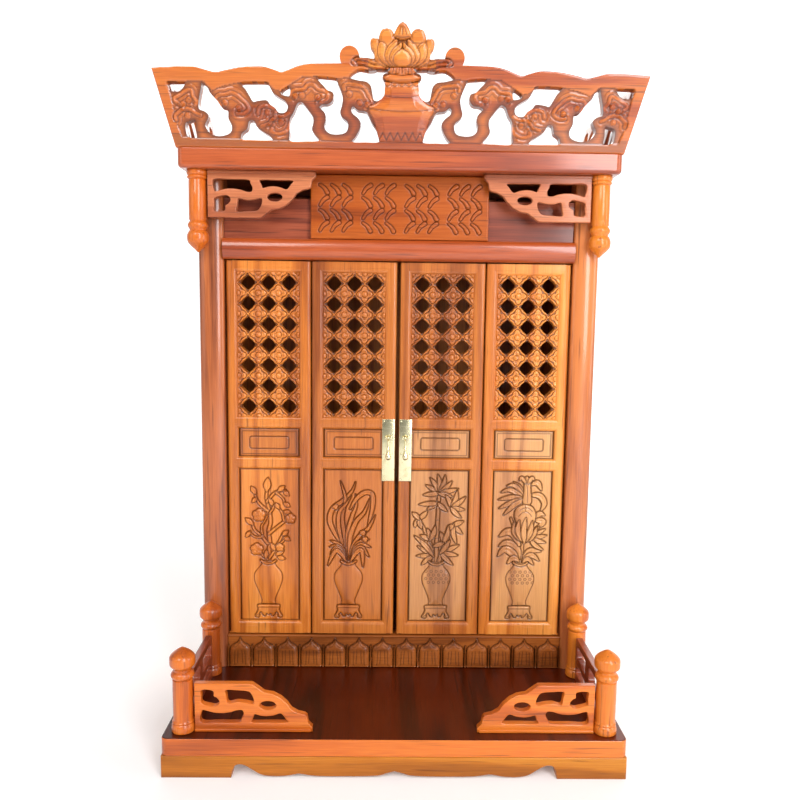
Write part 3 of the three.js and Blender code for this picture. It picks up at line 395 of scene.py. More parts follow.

# %% [markdown]
# ## From a bmesh to a piece
# Every piece is drawn in millimetres and made an object at the end, in metres, at the origin. It then
# rides on the body of the node that it stands for, hides that node, and takes the finish that it is given.
# Weighted normals keep the wide flat faces flat and let only the narrow rounded edges turn the light.


def piece(name, form, material, node, flat=True, crease=60, second=None):
    """Ends a form. second is another material and the test for the faces that take it."""
    bmesh.ops.remove_doubles(form, verts=form.verts, dist=0.002)
    bmesh.ops.recalc_face_normals(form, faces=form.faces)
    bmesh.ops.scale(form, vec=(MM, MM, MM), verts=form.verts)
    mesh = bpy.data.meshes.new(name)
    form.to_mesh(mesh)
    form.free()
    mesh.shade_smooth()
    mesh.set_sharp_from_angle(angle=math.radians(crease))
    mesh.materials.append(material)
    if second:
        other, chosen = second
        mesh.materials.append(other)
        for face in mesh.polygons:
            face.material_index = int(chosen(face))
    made = bpy.data.objects.new(name, mesh)
    bpy.context.collection.objects.link(made)
    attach(made, body_of(frame["nodes"][node])[0])
    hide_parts(node)
    if flat:
        made.modifiers.new("weighted", "WEIGHTED_NORMAL").keep_sharp = True
    print(f"{name}: {len(mesh.polygons)} faces")


def add_form(whole, part):
    """Adds one bmesh to another."""
    carrier = bpy.data.meshes.new("carrier")
    part.to_mesh(carrier)
    part.free()
    whole.from_mesh(carrier)
    bpy.data.meshes.remove(carrier)
    return whole


def move(form, x=0.0, y=0.0, z=0.0):
    bmesh.ops.translate(form, vec=(x, y, z), verts=form.verts)
    return form


def turn(form, angle, axis):
    bmesh.ops.rotate(form, cent=(0, 0, 0), matrix=Matrix.Rotation(angle, 3, axis), verts=form.verts)
    return form


def ease(form, edges, width, segments=3):
    """Rounds edges over."""
    bmesh.ops.bevel(form, geom=list(edges), offset=width, offset_type="OFFSET", affect="EDGES",
                    segments=segments, profile=0.5, material=-1)
    return form


def sharp_block(*spans):
    """A block between two places on each axis, with sharp edges."""
    form = bmesh.new()
    bmesh.ops.create_cube(form, size=1)
    bmesh.ops.scale(form, vec=[end - start for start, end in spans], verts=form.verts)
    return move(form, *[(start + end) / 2 for start, end in spans])


def board(x, y, z, edge=1.2, segments=3):
    """A board between two places on each axis, with eased edges."""
    form = sharp_block(x, y, z)
    return ease(form, form.edges, edge, segments)


def board_of(node, edge=1.2):
    return board(*zip(*place_of(node)), edge)


def upright(edge):
    return abs(edge.verts[0].co.z - edge.verts[1].co.z) > 1e-6


print("piece helpers are ready")

# %% [markdown]
# ## Plain boards
# The deck, the roof slab, the walls and the back are plain boards whose edges were rounded over with a
# plane. The deck and the roof have rounded corners too: those upright edges are bevelled first, and then
# the rims. The roof slab's lower rim is rounder than its upper one, so that from the front it seems to
# taper.

# %% Deck, roof slab, walls, back, floor and frieze
def cornered_board(node, corner, top_edge, bottom_edge):
    low, high = place_of(node)
    form = sharp_block(*zip(low, high))
    ease(form, [e for e in form.edges if upright(e)], corner, 6)
    for height, width in ((high[2], top_edge), (low[2], bottom_edge)):
        rim = [e for e in form.edges if all(abs(v.co.z - height) < 0.01 for v in e.verts)]
        ease(form, rim, width, 4)
    return form


deck = cornered_board("deck_board", corner=7, top_edge=1.4, bottom_edge=1.2)
# Faces that look up take the very dark tone and the edges the honey one: the dark top is painted shade.
piece("deck", deck, finish_for(mahogany, "Y"), "deck_board",
      second=(finish_for(honey, "X"), lambda face: face.normal.z < 0.7))
roof = cornered_board("roof_slab", corner=8, top_edge=1.5, bottom_edge=4.5)
piece("roof", roof, finish_for(russet, "X"), "roof_slab")
for side in ("left", "right"):
    piece(f"{side}_wall_board", board_of(f"{side}_wall"), finish_for(amber, "Z"), f"{side}_wall")
piece("back_board", board_of("back_panel"), finish_for(ochre, "Z"), "back_panel")
piece("niche_floor", board_of("floor_board", 0.6), finish_for(brown, "X"), "floor_board")
piece("frieze", board_of("frieze_panel", 0.6), finish_for(plum_wood, "X"), "frieze_panel")

# %% [markdown]
# ## Mouldings
# The lintel over the doors has a half-round front, and the two posts beside them are rounded where they
# face the deck. A moulding is one section, drawn once and pulled along the piece: here a few points make
# the face, and extruding it makes the length.

# %% Lintel rail and side posts
def pulled(section, along):
    """A face through the section's points, extruded by a vector."""
    form = bmesh.new()
    face = form.faces.new([form.verts.new(point) for point in section])
    grown = bmesh.ops.extrude_face_region(form, geom=[face])
    far_end = [v for v in grown["geom"] if isinstance(v, bmesh.types.BMVert)]
    bmesh.ops.translate(form, vec=along, verts=far_end)
    bmesh.ops.recalc_face_normals(form, faces=form.faces)
    return form


def arc(centre_u, centre_v, radius_u, radius_v, start, end, steps):
    """Points on part of an ellipse, from one angle to another in degrees."""
    angles = [math.radians(start + (end - start) * i / steps) for i in range(steps + 1)]
    return [(centre_u + radius_u * math.cos(a), centre_v + radius_v * math.sin(a)) for a in angles]


lintel_nose, post_nose = 8, 7
nose_steps = 18
low, high = place_of("lintel_rail")
half = (high[2] - low[2]) / 2
front = arc(low[1] + lintel_nose, low[2] + half, lintel_nose, half, 270, 90, nose_steps)
section = [(high[1], low[2]), *front, (high[1], high[2])]
lintel = pulled([(low[0], y, z) for y, z in section], (high[0] - low[0], 0, 0))
piece("lintel", lintel, finish_for(russet, "X"), "lintel_rail")

for side in ("left", "right"):
    low, high = place_of(f"{side}_post")
    half = (high[0] - low[0]) / 2
    front = arc(low[0] + half, low[1] + post_nose, half, post_nose, 180, 360, nose_steps)
    section = [(high[0], high[1]), (low[0], high[1]), *front]
    post = pulled([(x, y, low[2]) for x, y in section], (0, 0, high[2] - low[2]))
    piece(f"{side}_front_post", post, finish_for(umber, "Z"), f"{side}_post")

# %% [markdown]
# ## Fretwork
# The aprons, the brackets, the balustrade's side panels and the crest's side boards were sawn out along
# drawn lines and their edges rounded. A flat curve does the same: it fills between an outline and its
# openings, and its own bevel rounds both faces' edges evenly, also round the tightest opening. It is then
# made a mesh.

# %% Smooth lines and sawn boards
def smooth_line(points, steps=6, closed=True):
    """A smooth line through points: a Catmull-Rom curve with a few steps between each two."""
    count = len(points)
    line = []
    for i in range(count if closed else count - 1):
        around = [i - 1, i, i + 1, i + 2]
        if not closed:
            around = [min(max(k, 0), count - 1) for k in around]
        p = [points[k % count] for k in around]
        for step in range(steps):
            t = step / steps
            weights = (-t + 2 * t**2 - t**3, 2 - 5 * t**2 + 3 * t**3, t + 4 * t**2 - 3 * t**3, t**3 - t**2)
            line.append(tuple(sum(w * q[axis] for w, q in zip(weights, p)) / 2 for axis in (0, 1)))
    return line if closed else line + [tuple(points[-1][:2])]


def sawn(outline, openings, thickness, edge=1.0):
    """A board in the XZ plane, its middle at y = 0, with its openings sawn out and all its edges rounded."""
    curve = bpy.data.curves.new("sawn", "CURVE")
    curve.dimensions = "2D"
    curve.fill_mode = "BOTH"
    curve.extrude = thickness / 2 - edge
    curve.bevel_depth = edge
    curve.bevel_resolution = 2
    curve.offset = -edge
    for line in (outline, *openings):
        spline = curve.splines.new("POLY")
        spline.points.add(len(line) - 1)
        for point, (u, v) in zip(spline.points, line):
            point.co = (u, v, 0, 1)
        spline.use_cyclic_u = True
    holder = bpy.data.objects.new("sawn", curve)
    bpy.context.collection.objects.link(holder)
    filled = bpy.data.meshes.new_from_object(holder.evaluated_get(bpy.context.evaluated_depsgraph_get()))
    form = bmesh.new()
    form.from_mesh(filled)
    bpy.data.objects.remove(holder)
    bpy.data.curves.remove(curve)
    bpy.data.meshes.remove(filled)
    bmesh.ops.remove_doubles(form, verts=form.verts, dist=0.005)
    return turn(form, math.pi / 2, "X")


print("a test square has", len(sawn([(0, 0), (9, 0), (9, 9), (0, 9)], [], 4).faces), "faces")

# %% [markdown]
# ## Aprons
# The front apron stands on a foot at each end; between them its lower edge rises into a round notch and
# runs in an ogee with low cusps, a profile that turns the plain board into a stand. The side and back
# aprons only have a shallow arch. The rounded edges of apron and deck leave a thin dark joint between them.

# %% Four aprons
base_high = place_of("deck_board")[1]
apron_low, apron_high = place_of("front_apron")
apron_height = apron_high[2]
apron_thick = apron_high[1] - apron_low[1]
apron_edge = 1.3
foot_width = 72
arch = 14.6


def fancy_edge(half):
    foot = half - foot_width
    shares = [(0, 0.52), (0.05, 0.36), (0.1, 0.2), (0.2, 0.14), (0.3, 0.13), (0.42, 0.13), (0.5, 0.17),
              (0.56, 0.27), (0.59, 0.31), (0.62, 0.25), (0.68, 0.14), (0.76, 0.13), (0.82, 0.26), (0.87, 0.6),
              (0.91, 0.88), (0.945, 1), (0.975, 0.9), (0.992, 0.55)]
    right = smooth_line([(u * foot, v * arch) for u, v in shares], 5, closed=False) + [(foot, 0.0)]
    return [(-x, z) for x, z in reversed(right[1:])] + right


def plain_edge(half):
    foot = half - foot_width
    rise = smooth_line([(-foot - foot_width * 0.2, 0), (-foot - foot_width * 0.12, arch * 0.2),
                        (-foot - foot_width * 0.05, arch * 0.68), (-foot, arch * 0.8)], 5, closed=False)
    return rise + [(-x, z) for x, z in reversed(rise)]


def apron_board(half, lower_edge):
    outline = [(-half, 0), *lower_edge, (half, 0), (half, apron_height), (-half, apron_height)]
    return sawn(outline, [], apron_thick, apron_edge)


half_base = base_high[0]
front = move(apron_board(half_base, fancy_edge(half_base)), y=apron_low[1] + apron_thick / 2)
piece("front_apron_board", front, finish_for(teak, "X"), "front_apron")
back = move(apron_board(half_base, plain_edge(half_base)), y=base_high[1] - apron_thick / 2)
piece("back_apron_board", back, finish_for(teak, "X"), "back_apron")
for side in ("left", "right"):
    low, high = place_of(f"{side}_apron")
    half = (high[1] - low[1]) / 2
    apron = turn(apron_board(half, plain_edge(half)), math.pi / 2, "Z")
    move(apron, (low[0] + high[0]) / 2, (low[1] + high[1]) / 2)
    piece(f"{side}_apron_board", apron, finish_for(teak, "Y"), f"{side}_apron")

# %% [markdown]
# ## Brackets
# Under the roof and on the deck stand four pierced brackets of one pattern: a wave that splits the board
# into five openings, with a stepped free edge like a worn cloud. The pattern is drawn once, in shares of
# the bracket's length and height, and mirrored into its four places. A thin bead runs along the straight
# edge.

# %% Four brackets
fret_edge = 1.1
bracket_edge = [(1, 0), (1, 0.1), (0.965, 0.18), (0.955, 0.32), (0.935, 0.36), (0.877, 0.39), (0.82, 0.47),
                (0.785, 0.59), (0.73, 0.71), (0.665, 0.79), (0.59, 0.82), (0.54, 0.91), (0.495, 0.985),
                (0.48, 1), (0, 1), (0, 0)]
bracket_openings = [
    [(0.057, 0.19), (0.21, 0.185), (0.374, 0.19), (0.396, 0.27), (0.414, 0.35), (0.405, 0.44), (0.357, 0.44),
     (0.304, 0.4), (0.233, 0.38), (0.163, 0.39), (0.084, 0.44), (0.062, 0.42)],
    [(0.489, 0.19), (0.63, 0.19), (0.785, 0.195), (0.771, 0.27), (0.731, 0.38), (0.674, 0.34), (0.612, 0.32),
     (0.559, 0.33), (0.511, 0.36), (0.498, 0.29)],
    [(0.062, 0.59), (0.128, 0.54), (0.172, 0.526), (0.207, 0.58), (0.207, 0.65), (0.185, 0.71), (0.163, 0.74),
     (0.154, 0.85), (0.062, 0.86), (0.06, 0.72)],
    [(0.286, 0.59), (0.357, 0.62), (0.427, 0.61), (0.493, 0.58), (0.502, 0.66), (0.485, 0.77), (0.454, 0.84),
     (0.36, 0.86), (0.269, 0.86), (0.273, 0.73)],
    arc(0.621, 0.55, 0.07, 0.09, 0, 324, 9),
]
bead_width, bead_share = 3.2, 0.985


def bracket(node, towards, upwards, tones):
    low, high = place_of(node)
    length, height, thick = high[0] - low[0], high[2] - low[2], high[1] - low[1]
    start_x = low[0] if towards > 0 else high[0]
    start_z = low[2] if upwards > 0 else high[2]

    def put(points):
        line = [(start_x + towards * u * length, start_z + upwards * v * height) for u, v in points]
        return line if towards * upwards > 0 else line[::-1]

    openings = [put(smooth_line(points, 4)) for points in bracket_openings]
    form = sawn(put(bracket_edge), openings, thick, fret_edge)
    move(form, y=(low[1] + high[1]) / 2)
    bead_x = sorted((start_x, start_x + towards * length * bead_share))
    bead_z = sorted((start_z, start_z + upwards * bead_width))
    bead = board(bead_x, (low[1] - 0.9, low[1] + 1.5), bead_z, 0.8)
    piece(f"{node}_fretwork", add_form(form, bead), finish_for(tones, "X"), node)


for side, sign in (("left", 1), ("right", -1)):
    bracket(f"{side}_roof_bracket", sign, -1, cedar)
    bracket(f"{side}_deck_bracket", sign, 1, honey)

# %% [markdown]
# ## Side panels and side crests
# The deck's balustrade is closed at each side by a panel with two pairs of openings. The crest's side
# boards are plainer than its front: scrolls in mirrored pairs, under a wavy top. They lean outwards,
# which is a shear: each point moves sideways by its height times the lean.

# %% Balustrade side panels
balustrade_openings = [
    [(0.08, 0.19), (0.26, 0.185), (0.44, 0.19), (0.455, 0.27), (0.44, 0.35), (0.36, 0.4), (0.28, 0.42),
     (0.17, 0.38), (0.08, 0.37)],
    [(0.08, 0.54), (0.17, 0.54), (0.26, 0.58), (0.36, 0.58), (0.44, 0.56), (0.45, 0.7), (0.44, 0.84),
     (0.26, 0.85), (0.08, 0.84), (0.07, 0.7)],
]


def foot_of(node):
    """The middle of a node's underside."""
    low, high = place_of(node)
    return (low[0] + high[0]) / 2, (low[1] + high[1]) / 2, low[2]


for side in ("left", "right"):
    node = f"{side}_deck_panel"
    low, high = place_of(node)
    length, height = high[1] - low[1], high[2] - low[2]
    openings = [[(sign * u * length, v * height) for u, v in smooth_line(points, 4)]
                for points in balustrade_openings for sign in (-1, 1)]
    outline = [(-length / 2, 0), (length / 2, 0), (length / 2, height), (-length / 2, height)]
    panel = turn(sawn(outline, openings, high[0] - low[0], fret_edge), math.pi / 2, "Z")
    # The side panels take the darker plum tone: painted shade, for the shadow on their inner faces.
    piece(f"{side}_balustrade", move(panel, *foot_of(node)), finish_for(plum_wood, "Y"), node)

# %% Side crest boards
crest_thick = 12
crest_lean = 20
crest_flare = 19
crest_tall = place_of("left_crest")[1][2] - place_of("left_crest")[0][2]
wave_steps, wave_dip = 36, 0.035
windows = 3
scroll = smooth_line([(-0.38, 0.14), (-0.08, 0.14), (-0.12, 0.4), (-0.05, 0.62), (-0.2, 0.8), (-0.4, 0.78),
                      (-0.34, 0.5)], 5)
for side, sign in (("left", -1), ("right", 1)):
    low, high = place_of(f"{side}_crest")
    start = low[1] + crest_lean
    length = high[1] - start
    pitch = length / windows
    shares = [i / wave_steps for i in range(wave_steps + 1)]
    top = [(-crest_lean + (length + crest_lean) * share,
            crest_tall * (1 - wave_dip * (1 - math.cos(share * windows * math.tau)))) for share in shares]
    outline = [(0, 0), (length, 0), *reversed(top)]
    openings = []
    for i in range(windows):
        middle_y = pitch * (i + 0.5) - crest_lean * 0.35
        openings += [[(middle_y + mirror * u * pitch, v * crest_tall) for u, v in scroll]
                     for mirror in (-1, 1)]
    form = turn(move(sawn(outline, openings, crest_thick, 1.5), y=-crest_thick / 2), math.pi / 2, "Z")
    foot_x = high[0] - crest_flare if sign > 0 else low[0] + crest_flare + crest_thick
    for vert in form.verts:
        vert.co.x += foot_x - crest_thick + sign * vert.co.z * crest_flare / crest_tall
        vert.co.y += start
        vert.co.z += low[2]
    piece(f"{side}_crest_board", form, finish_for(ember, "Y"), f"{side}_crest")

# %% [markdown]
# ## Turned posts
# Balusters and hanging posts come off a lathe: rings, coves and a pointed head cut into a round bar. A
# lathe is a spin: half the section is drawn as a chain of edges beside the axis, and spun a full turn.
# The hanging posts are the same work upside down, with a ball and a point at their foot.

# %% Balusters and hanging posts
def turned(profile, x, y, z, steps=56):
    form = bmesh.new()
    chain = [form.verts.new((radius, 0, height)) for radius, height in profile]
    edges = [form.edges.new(pair) for pair in zip(chain, chain[1:])]
    bmesh.ops.spin(form, geom=chain + edges, cent=(0, 0, 0), axis=(0, 0, 1), dvec=(0, 0, 0),
                   angle=2 * math.pi, steps=steps, use_merge=True, use_duplicate=False)
    bmesh.ops.remove_doubles(form, verts=form.verts, dist=0.01)
    return move(form, x, y, z)


def half_bead(radius, low, high, bulge, steps=6):
    """A round ring of the lathe between two heights."""
    return [(radius + bulge * math.sin(math.pi * i / steps), low + (high - low) * i / steps)
            for i in range(steps + 1)]


def baluster_profile(tall):
    head = smooth_line([(11.2, tall * 0.775), (12.9, tall * 0.8), (13.2, tall * 0.85), (12.7, tall * 0.895),
                        (9.6, tall * 0.935), (5.2, tall * 0.972), (1.6, tall * 0.996)], 4, closed=False)
    return [(0, 0), (11.4, 0), (12.2, 1.0), (12.2, tall * 0.055), (11.7, tall * 0.085), (10.9, tall * 0.1),
            *half_bead(10.5, tall * 0.105, tall * 0.135, 0.9), (10.2, tall * 0.15), (10.4, tall * 0.3),
            (10.5, tall * 0.5), (10.3, tall * 0.62), (9.5, tall * 0.628),
            *half_bead(10.4, tall * 0.64, tall * 0.715, 1.7), (9.3, tall * 0.725), (9.3, tall * 0.745),
            (10.2, tall * 0.765), *head, (0, tall)]


def hanging_profile(tall):
    tip = smooth_line([(0.9, tall * 0.002), (3.8, tall * 0.035), (8.4, tall * 0.08), (11.6, tall * 0.125),
                       (12.4, tall * 0.17), (12.1, tall * 0.215), (10.6, tall * 0.25), (9.2, tall * 0.268)],
                      4, closed=False)
    return [(0, 0), *tip, *half_bead(9.5, tall * 0.285, tall * 0.375, 2.0), (9.0, tall * 0.385),
            (9.8, tall * 0.4), (9.9, tall * 0.6), (9.7, tall * 0.88), (9.2, tall * 0.888),
            *half_bead(10.2, tall * 0.895, tall * 0.935, 1.2), (11.2, tall * 0.945), (11.7, tall * 0.96),
            (11.7, tall * 0.992), (11.2, tall), (0, tall)]


for side in ("left", "right"):
    for place in ("front_baluster", "back_baluster", "hanging_post"):
        node = f"{side}_{place}"
        low, high = place_of(node)
        profile = hanging_profile if place == "hanging_post" else baluster_profile
        post = turned(profile(high[2] - low[2]), *foot_of(node))
        piece(f"{node}_turned", post, finish_for(honey, "Z"), node, flat=False, crease=38)

# %% [markdown]
# ## Carving
# Relief is a face whose height changes from place to place. A fine grid is laid over the board, and each
# line of the carving is measured on it: how far every point of the grid is from that line. From the
# distance comes the cut: a round back for a stem, a V groove beside it, a soft rim round an opening. Only
# at the end is a mesh made: a grid whose points are pushed in or out, cut along the outline, and given
# its thickness.

# %% A face to carve
def fade(gap, width):
    """1 at a gap of 0 or less, falling evenly to 0 at the width."""
    return np.clip(1 - gap / width, 0, 1)


def half_round(share):
    """The height of a round back: 1 in its middle, 0 at a share of 1 and beyond."""
    return np.sqrt(np.clip(1 - share ** 2, 0, 1))


class Carving:
    """Heights in millimetres over a face in X and Z: above 0 stands proud, below 0 is cut in."""
    def __init__(self, x, z, step):
        self.spans = [x, z]
        self.counts = [max(2, round((end - start) / step)) for start, end in self.spans]
        self.steps = [(end - start) / count for (start, end), count in zip(self.spans, self.counts)]
        self.x, self.z = np.meshgrid(np.linspace(*x, self.counts[0] + 1), np.linspace(*z, self.counts[1] + 1))
        self.height = np.zeros_like(self.x)
        self.hollow = np.zeros_like(self.x)

    def shift(self, x, z):
        """Moves the face, so that a figure can be given from its own middle."""
        self.x += x
        self.z += z
        self.spans = [(start + by, end + by) for (start, end), by in zip(self.spans, (x, z))]

    def rim_gap(self):
        """How far each point is from the nearest side of the face."""
        (x0, x1), (z0, z1) = self.spans
        return np.minimum.reduce([self.x - x0, x1 - self.x, self.z - z0, z1 - self.z])

    def near(self, xs, zs, reach):
        """The rows and columns of the grid that lie within reach of some places."""
        found = []
        for (low, _), step, count, values in zip(self.spans, self.steps, self.counts, (xs, zs)):
            start = max(0, math.floor((min(values) - reach - low) / step))
            end = min(count, math.ceil((max(values) + reach - low) / step))
            found.append(slice(start, max(end, start) + 1))
        return found[1], found[0]

    def measure(self, line, reach=6.0, closed=False):
        """How far each point is from a line, how far along the line that is, and the nearest place on it."""
        points = list(line) + ([line[0]] if closed else [])
        lengths = [math.dist(a[:2], b[:2]) for a, b in zip(points, points[1:])]
        total = sum(lengths)
        far = np.full(self.x.shape, 1e3)
        share, near_x, near_z = (np.zeros(self.x.shape) for _ in range(3))
        run = 0.0
        for (ax, az), (bx, bz), length in zip(points, points[1:], lengths):
            if length < 1e-6:
                continue
            spot = self.near((ax, bx), (az, bz), reach)
            ux, uz = (bx - ax) / length, (bz - az) / length
            px, pz = self.x[spot] - ax, self.z[spot] - az
            t = np.clip(px * ux + pz * uz, 0, length)
            gap = np.hypot(px - t * ux, pz - t * uz)
            closer = gap < far[spot]
            for whole, part in ((far, gap), (share, (run + t) / total), (near_x, ax + t * ux),
                                (near_z, az + t * uz)):
                whole[spot] = np.where(closer, part, whole[spot])
            run += length
        return far, share, near_x, near_z

    def inside(self, outline):
        """True inside a closed outline: a line from the point crosses it an odd number of times."""
        odd = np.zeros(self.x.shape, bool)
        heights = self.z[:, 0]
        for (ax, az), (bx, bz) in zip(outline, outline[1:] + outline[:1]):
            rows = np.nonzero((heights > min(az, bz)) & (heights <= max(az, bz)))[0]
            if len(rows):
                crossing = ax + (heights[rows] - az) * (bx - ax) / (bz - az)
                odd[rows] ^= self.x[rows] < crossing[:, None]
        return odd

    def gap_to(self, outline, reach=6.0):
        """Distance from a closed outline, negative inside it."""
        far = self.measure(outline, reach, closed=True)[0]
        return np.where(self.inside(outline), -far, far)

    def lay(self, gap, top, groove=1.8, depth=1.3):
        """Lays a figure over what is there, with a V groove round it. top is its height."""
        within = gap < 0
        self.height = np.where(within, top, self.height)
        # The figure's edge and the groove round it are darkened: partly stain, partly painted shade.
        self.hollow = np.where(within, fade(-gap, 0.5) * 0.6, self.hollow)
        beside = (gap >= 0) & (gap < groove)
        cut = np.where(beside, 1 - gap / groove, 0)
        self.height = np.maximum(self.height - depth * cut, -depth * 1.5)
        self.hollow = np.maximum(self.hollow, cut ** 0.5)

    def figure(self, outline, height, soft=1.6, **cut):
        """A figure with a flat back and rounded edges."""
        gap = self.gap_to(outline)
        self.lay(gap, height * half_round(fade(-gap, soft)), **cut)

    def stem(self, line, start, end, height=1.3, **cut):
        """A round-backed stem that tapers from one width to another."""
        far, share, _, _ = self.measure(smooth_line(line, 4, closed=False))
        half = (start + (end - start) * share) / 2
        self.lay(far - half, height * half_round(far / half), **cut)

    def blade(self, line, width, height=1.3):
        """A pointed leaf along a line, with a crease down its middle."""
        far, share, _, _ = self.measure(smooth_line(line, 5, closed=False))
        half = width / 2 * np.sin(math.pi * np.clip(share, 0.04, 0.995) ** 0.8) ** 0.75 + 0.12
        across = np.clip(far / half, 0, 1)
        self.lay(far - half, height * (0.45 + 0.75 * across) * half_round(across) * 1.4)

    def flower(self, x, z, radius, petals, height=1.5, turned_by=0.3):
        """A round blossom: petals about a boss."""
        px, pz = self.x - x, self.z - z
        away, angle = np.hypot(px, pz), np.arctan2(pz, px) - turned_by
        lobe = np.abs(np.cos(angle * petals / 2))
        reach = radius * (0.76 + 0.24 * lobe ** 0.6)
        share = np.clip(away / reach, 0, 1)
        top = height * (0.35 + 0.65 * lobe ** 0.5 * np.sin(math.pi * share) ** 0.8)
        boss = height * half_round(away / (radius * 0.3))
        self.lay(away - reach, np.maximum(top * half_round(share ** 2), boss))

    def mesh(self, front, back, outlines=(), openings=()):
        """The carved board: its face at y = front, where height is 0, and a flat back. It is the union of the
        outlines, less the openings."""
        form = bmesh.new()
        bmesh.ops.create_grid(form, x_segments=self.counts[0], y_segments=self.counts[1], size=0.5)
        solid = np.zeros(self.x.shape, bool) if outlines else np.ones(self.x.shape, bool)
        for line in outlines:
            solid |= self.inside(line)
        for line in openings:
            solid &= ~self.inside(line)
        far = np.full(self.x.shape, 1e3)
        near_x, near_z = self.x.copy(), self.z.copy()
        for line in (*outlines, *openings):
            gap, _, on_x, on_z = self.measure(line, 3 * max(self.steps), closed=True)
            closer = gap < far
            far, near_x, near_z = (np.where(closer, a, b) for a, b in
                                   ((gap, far), (on_x, near_x), (on_z, near_z)))
        # A point that lies almost on a line belongs to the board, and is drawn onto the line below.
        kept = solid | (far < 0.45 * min(self.steps))
        hollow = form.verts.layers.float.new("hollow")
        spare = []
        for vert in form.verts:
            column = round((vert.co.x + 0.5) * self.counts[0])
            row = round((vert.co.y + 0.5) * self.counts[1])
            vert.co = (self.x[row, column], front - self.height[row, column], self.z[row, column])
            vert[hollow] = self.hollow[row, column]
            if not kept[row, column]:
                spare.append(vert)
        if spare:
            bmesh.ops.delete(form, geom=spare, context="VERTS")
            bmesh.ops.delete(form, geom=[v for v in form.verts if not v.link_faces], context="VERTS")
            for vert in form.verts:
                if vert.is_boundary:
                    column = round((vert.co.x - self.spans[0][0]) / self.steps[0])
                    row = round((vert.co.z - self.spans[1][0]) / self.steps[1])
                    if far[row, column] < 2 * max(self.steps):
                        vert.co.x, vert.co.z = near_x[row, column], near_z[row, column]
            bmesh.ops.dissolve_degenerate(form, dist=0.05, edges=form.edges)
        rim = [e for e in form.edges if e.is_boundary]
        grown = bmesh.ops.extrude_edge_only(form, edges=rim)["geom"]
        rear = [v for v in grown if isinstance(v, bmesh.types.BMVert)]
        for vert in rear:
            vert.co.y = back
            vert[hollow] = 0
        rear_set = set(rear)
        rear_rim = [e for e in grown if isinstance(e, bmesh.types.BMEdge) and rear_set.issuperset(e.verts)]
        bmesh.ops.triangle_fill(form, use_beauty=False, edges=rear_rim, normal=(0, 1, 0))
        bmesh.ops.recalc_face_normals(form, faces=form.faces)
        print("open edges:", sum(e.is_boundary for e in form.edges))
        return form


trial = Carving((0, 10), (0, 10), 0.5)
trial.stem([(1, 1), (9, 9)], 2, 1)
print("highest point of a trial stem:", round(float(trial.height.max()), 2), "mm")

# %% [markdown]
# ## Door leaves: the frames
# Each leaf is two stiles and four rails round three panels. The stiles run the whole height and are
# rounded outside; the rails lie between them. The leaf that carries the pivots has a fully round outer
# edge, so that it can turn beside its post. Round each panel the frame is rounded over towards it.
# Rounding the edges of a cut opening would need a boolean first, so each opening gets four bars of its
# own, flush with the frame, with one rounded edge each.

# %% Four leaf frames
leaf_parts = {"bottom_rail": 15, "panel": 190, "low_rail": 14, "waist": 35, "high_rail": 14, "lattice": 170,
              "top_rail": 13}
leaf_levels = {}
level_now = 0
for part_name, part_height in leaf_parts.items():
    leaf_levels[part_name] = (level_now, level_now + part_height)
    level_now += part_height
leaf_front, leaf_back = (corner[1] for corner in place_of("left_inner_leaf"))
stile = 14.2
slope_width, slope_round = 6.2, 4.6
slope_reach = slope_width - 0.8
pivot_edge, free_edge, hidden_edge = 7.7, 4.0, 0.25
rail_trims = {"bottom_rail": (0.05, slope_reach), "low_rail": (slope_reach, slope_reach),
              "high_rail": (slope_reach, slope_reach), "top_rail": (slope_reach, 0.05)}
panel_depths = {"lattice": (2.7, 12), "waist": (2.9, 11), "panel": (3.2, 12)}


def panel_faces(part_name):
    """Where the face and the back of a leaf's panel lie."""
    return [leaf_front + depth for depth in panel_depths[part_name]]


def stain_and_shade_low_places(form, face, start, full):
    """Darkens low places, as gathered polish and painted shade: the carved finish reads this attribute."""
    hollow = form.verts.layers.float.new("hollow")
    for vert in form.verts:
        depth = vert.co.y - face
        vert[hollow] = min(max((depth - start) / (full - start), 0), 1) if depth < 6 else 0


def stile_board(x, height, outer_side, outer_round):
    """A stile that is rounder at its outer side, -1 or 1, than where a slope joins it."""
    form = sharp_block(x, (leaf_front, leaf_back), (0, height))
    ease(form, [e for e in form.edges if not upright(e)], 0.8, 2)
    for side, width in ((outer_side, outer_round), (-outer_side, hidden_edge)):
        corners = [e for e in form.edges if upright(e) and e.calc_length() > height / 2
                   and abs(e.verts[0].co.x - x[side > 0]) < 0.05]
        ease(form, corners, width, 6)
    return form


def sloped_opening(x, z):
    """Four bars round an opening, flush with the frame and rounded over towards the panel inside."""
    form = bmesh.new()
    for axis, side in ((0, 0), (0, 1), (2, 0), (2, 1)):
        spans = [x, (leaf_front + (0.06 if axis else 0.03), leaf_front + 7), z]
        outer = spans[axis][side]
        rim = outer + (-slope_width if side else slope_width)
        spans[axis] = sorted((outer, rim))
        bar = sharp_block(*spans)
        inner = [e for e in bar.edges
                 if all(abs(v.co[axis] - rim) < 0.01 and v.co.y < leaf_front + 1 for v in e.verts)]
        add_form(form, ease(bar, inner, slope_round, 8))
    return form


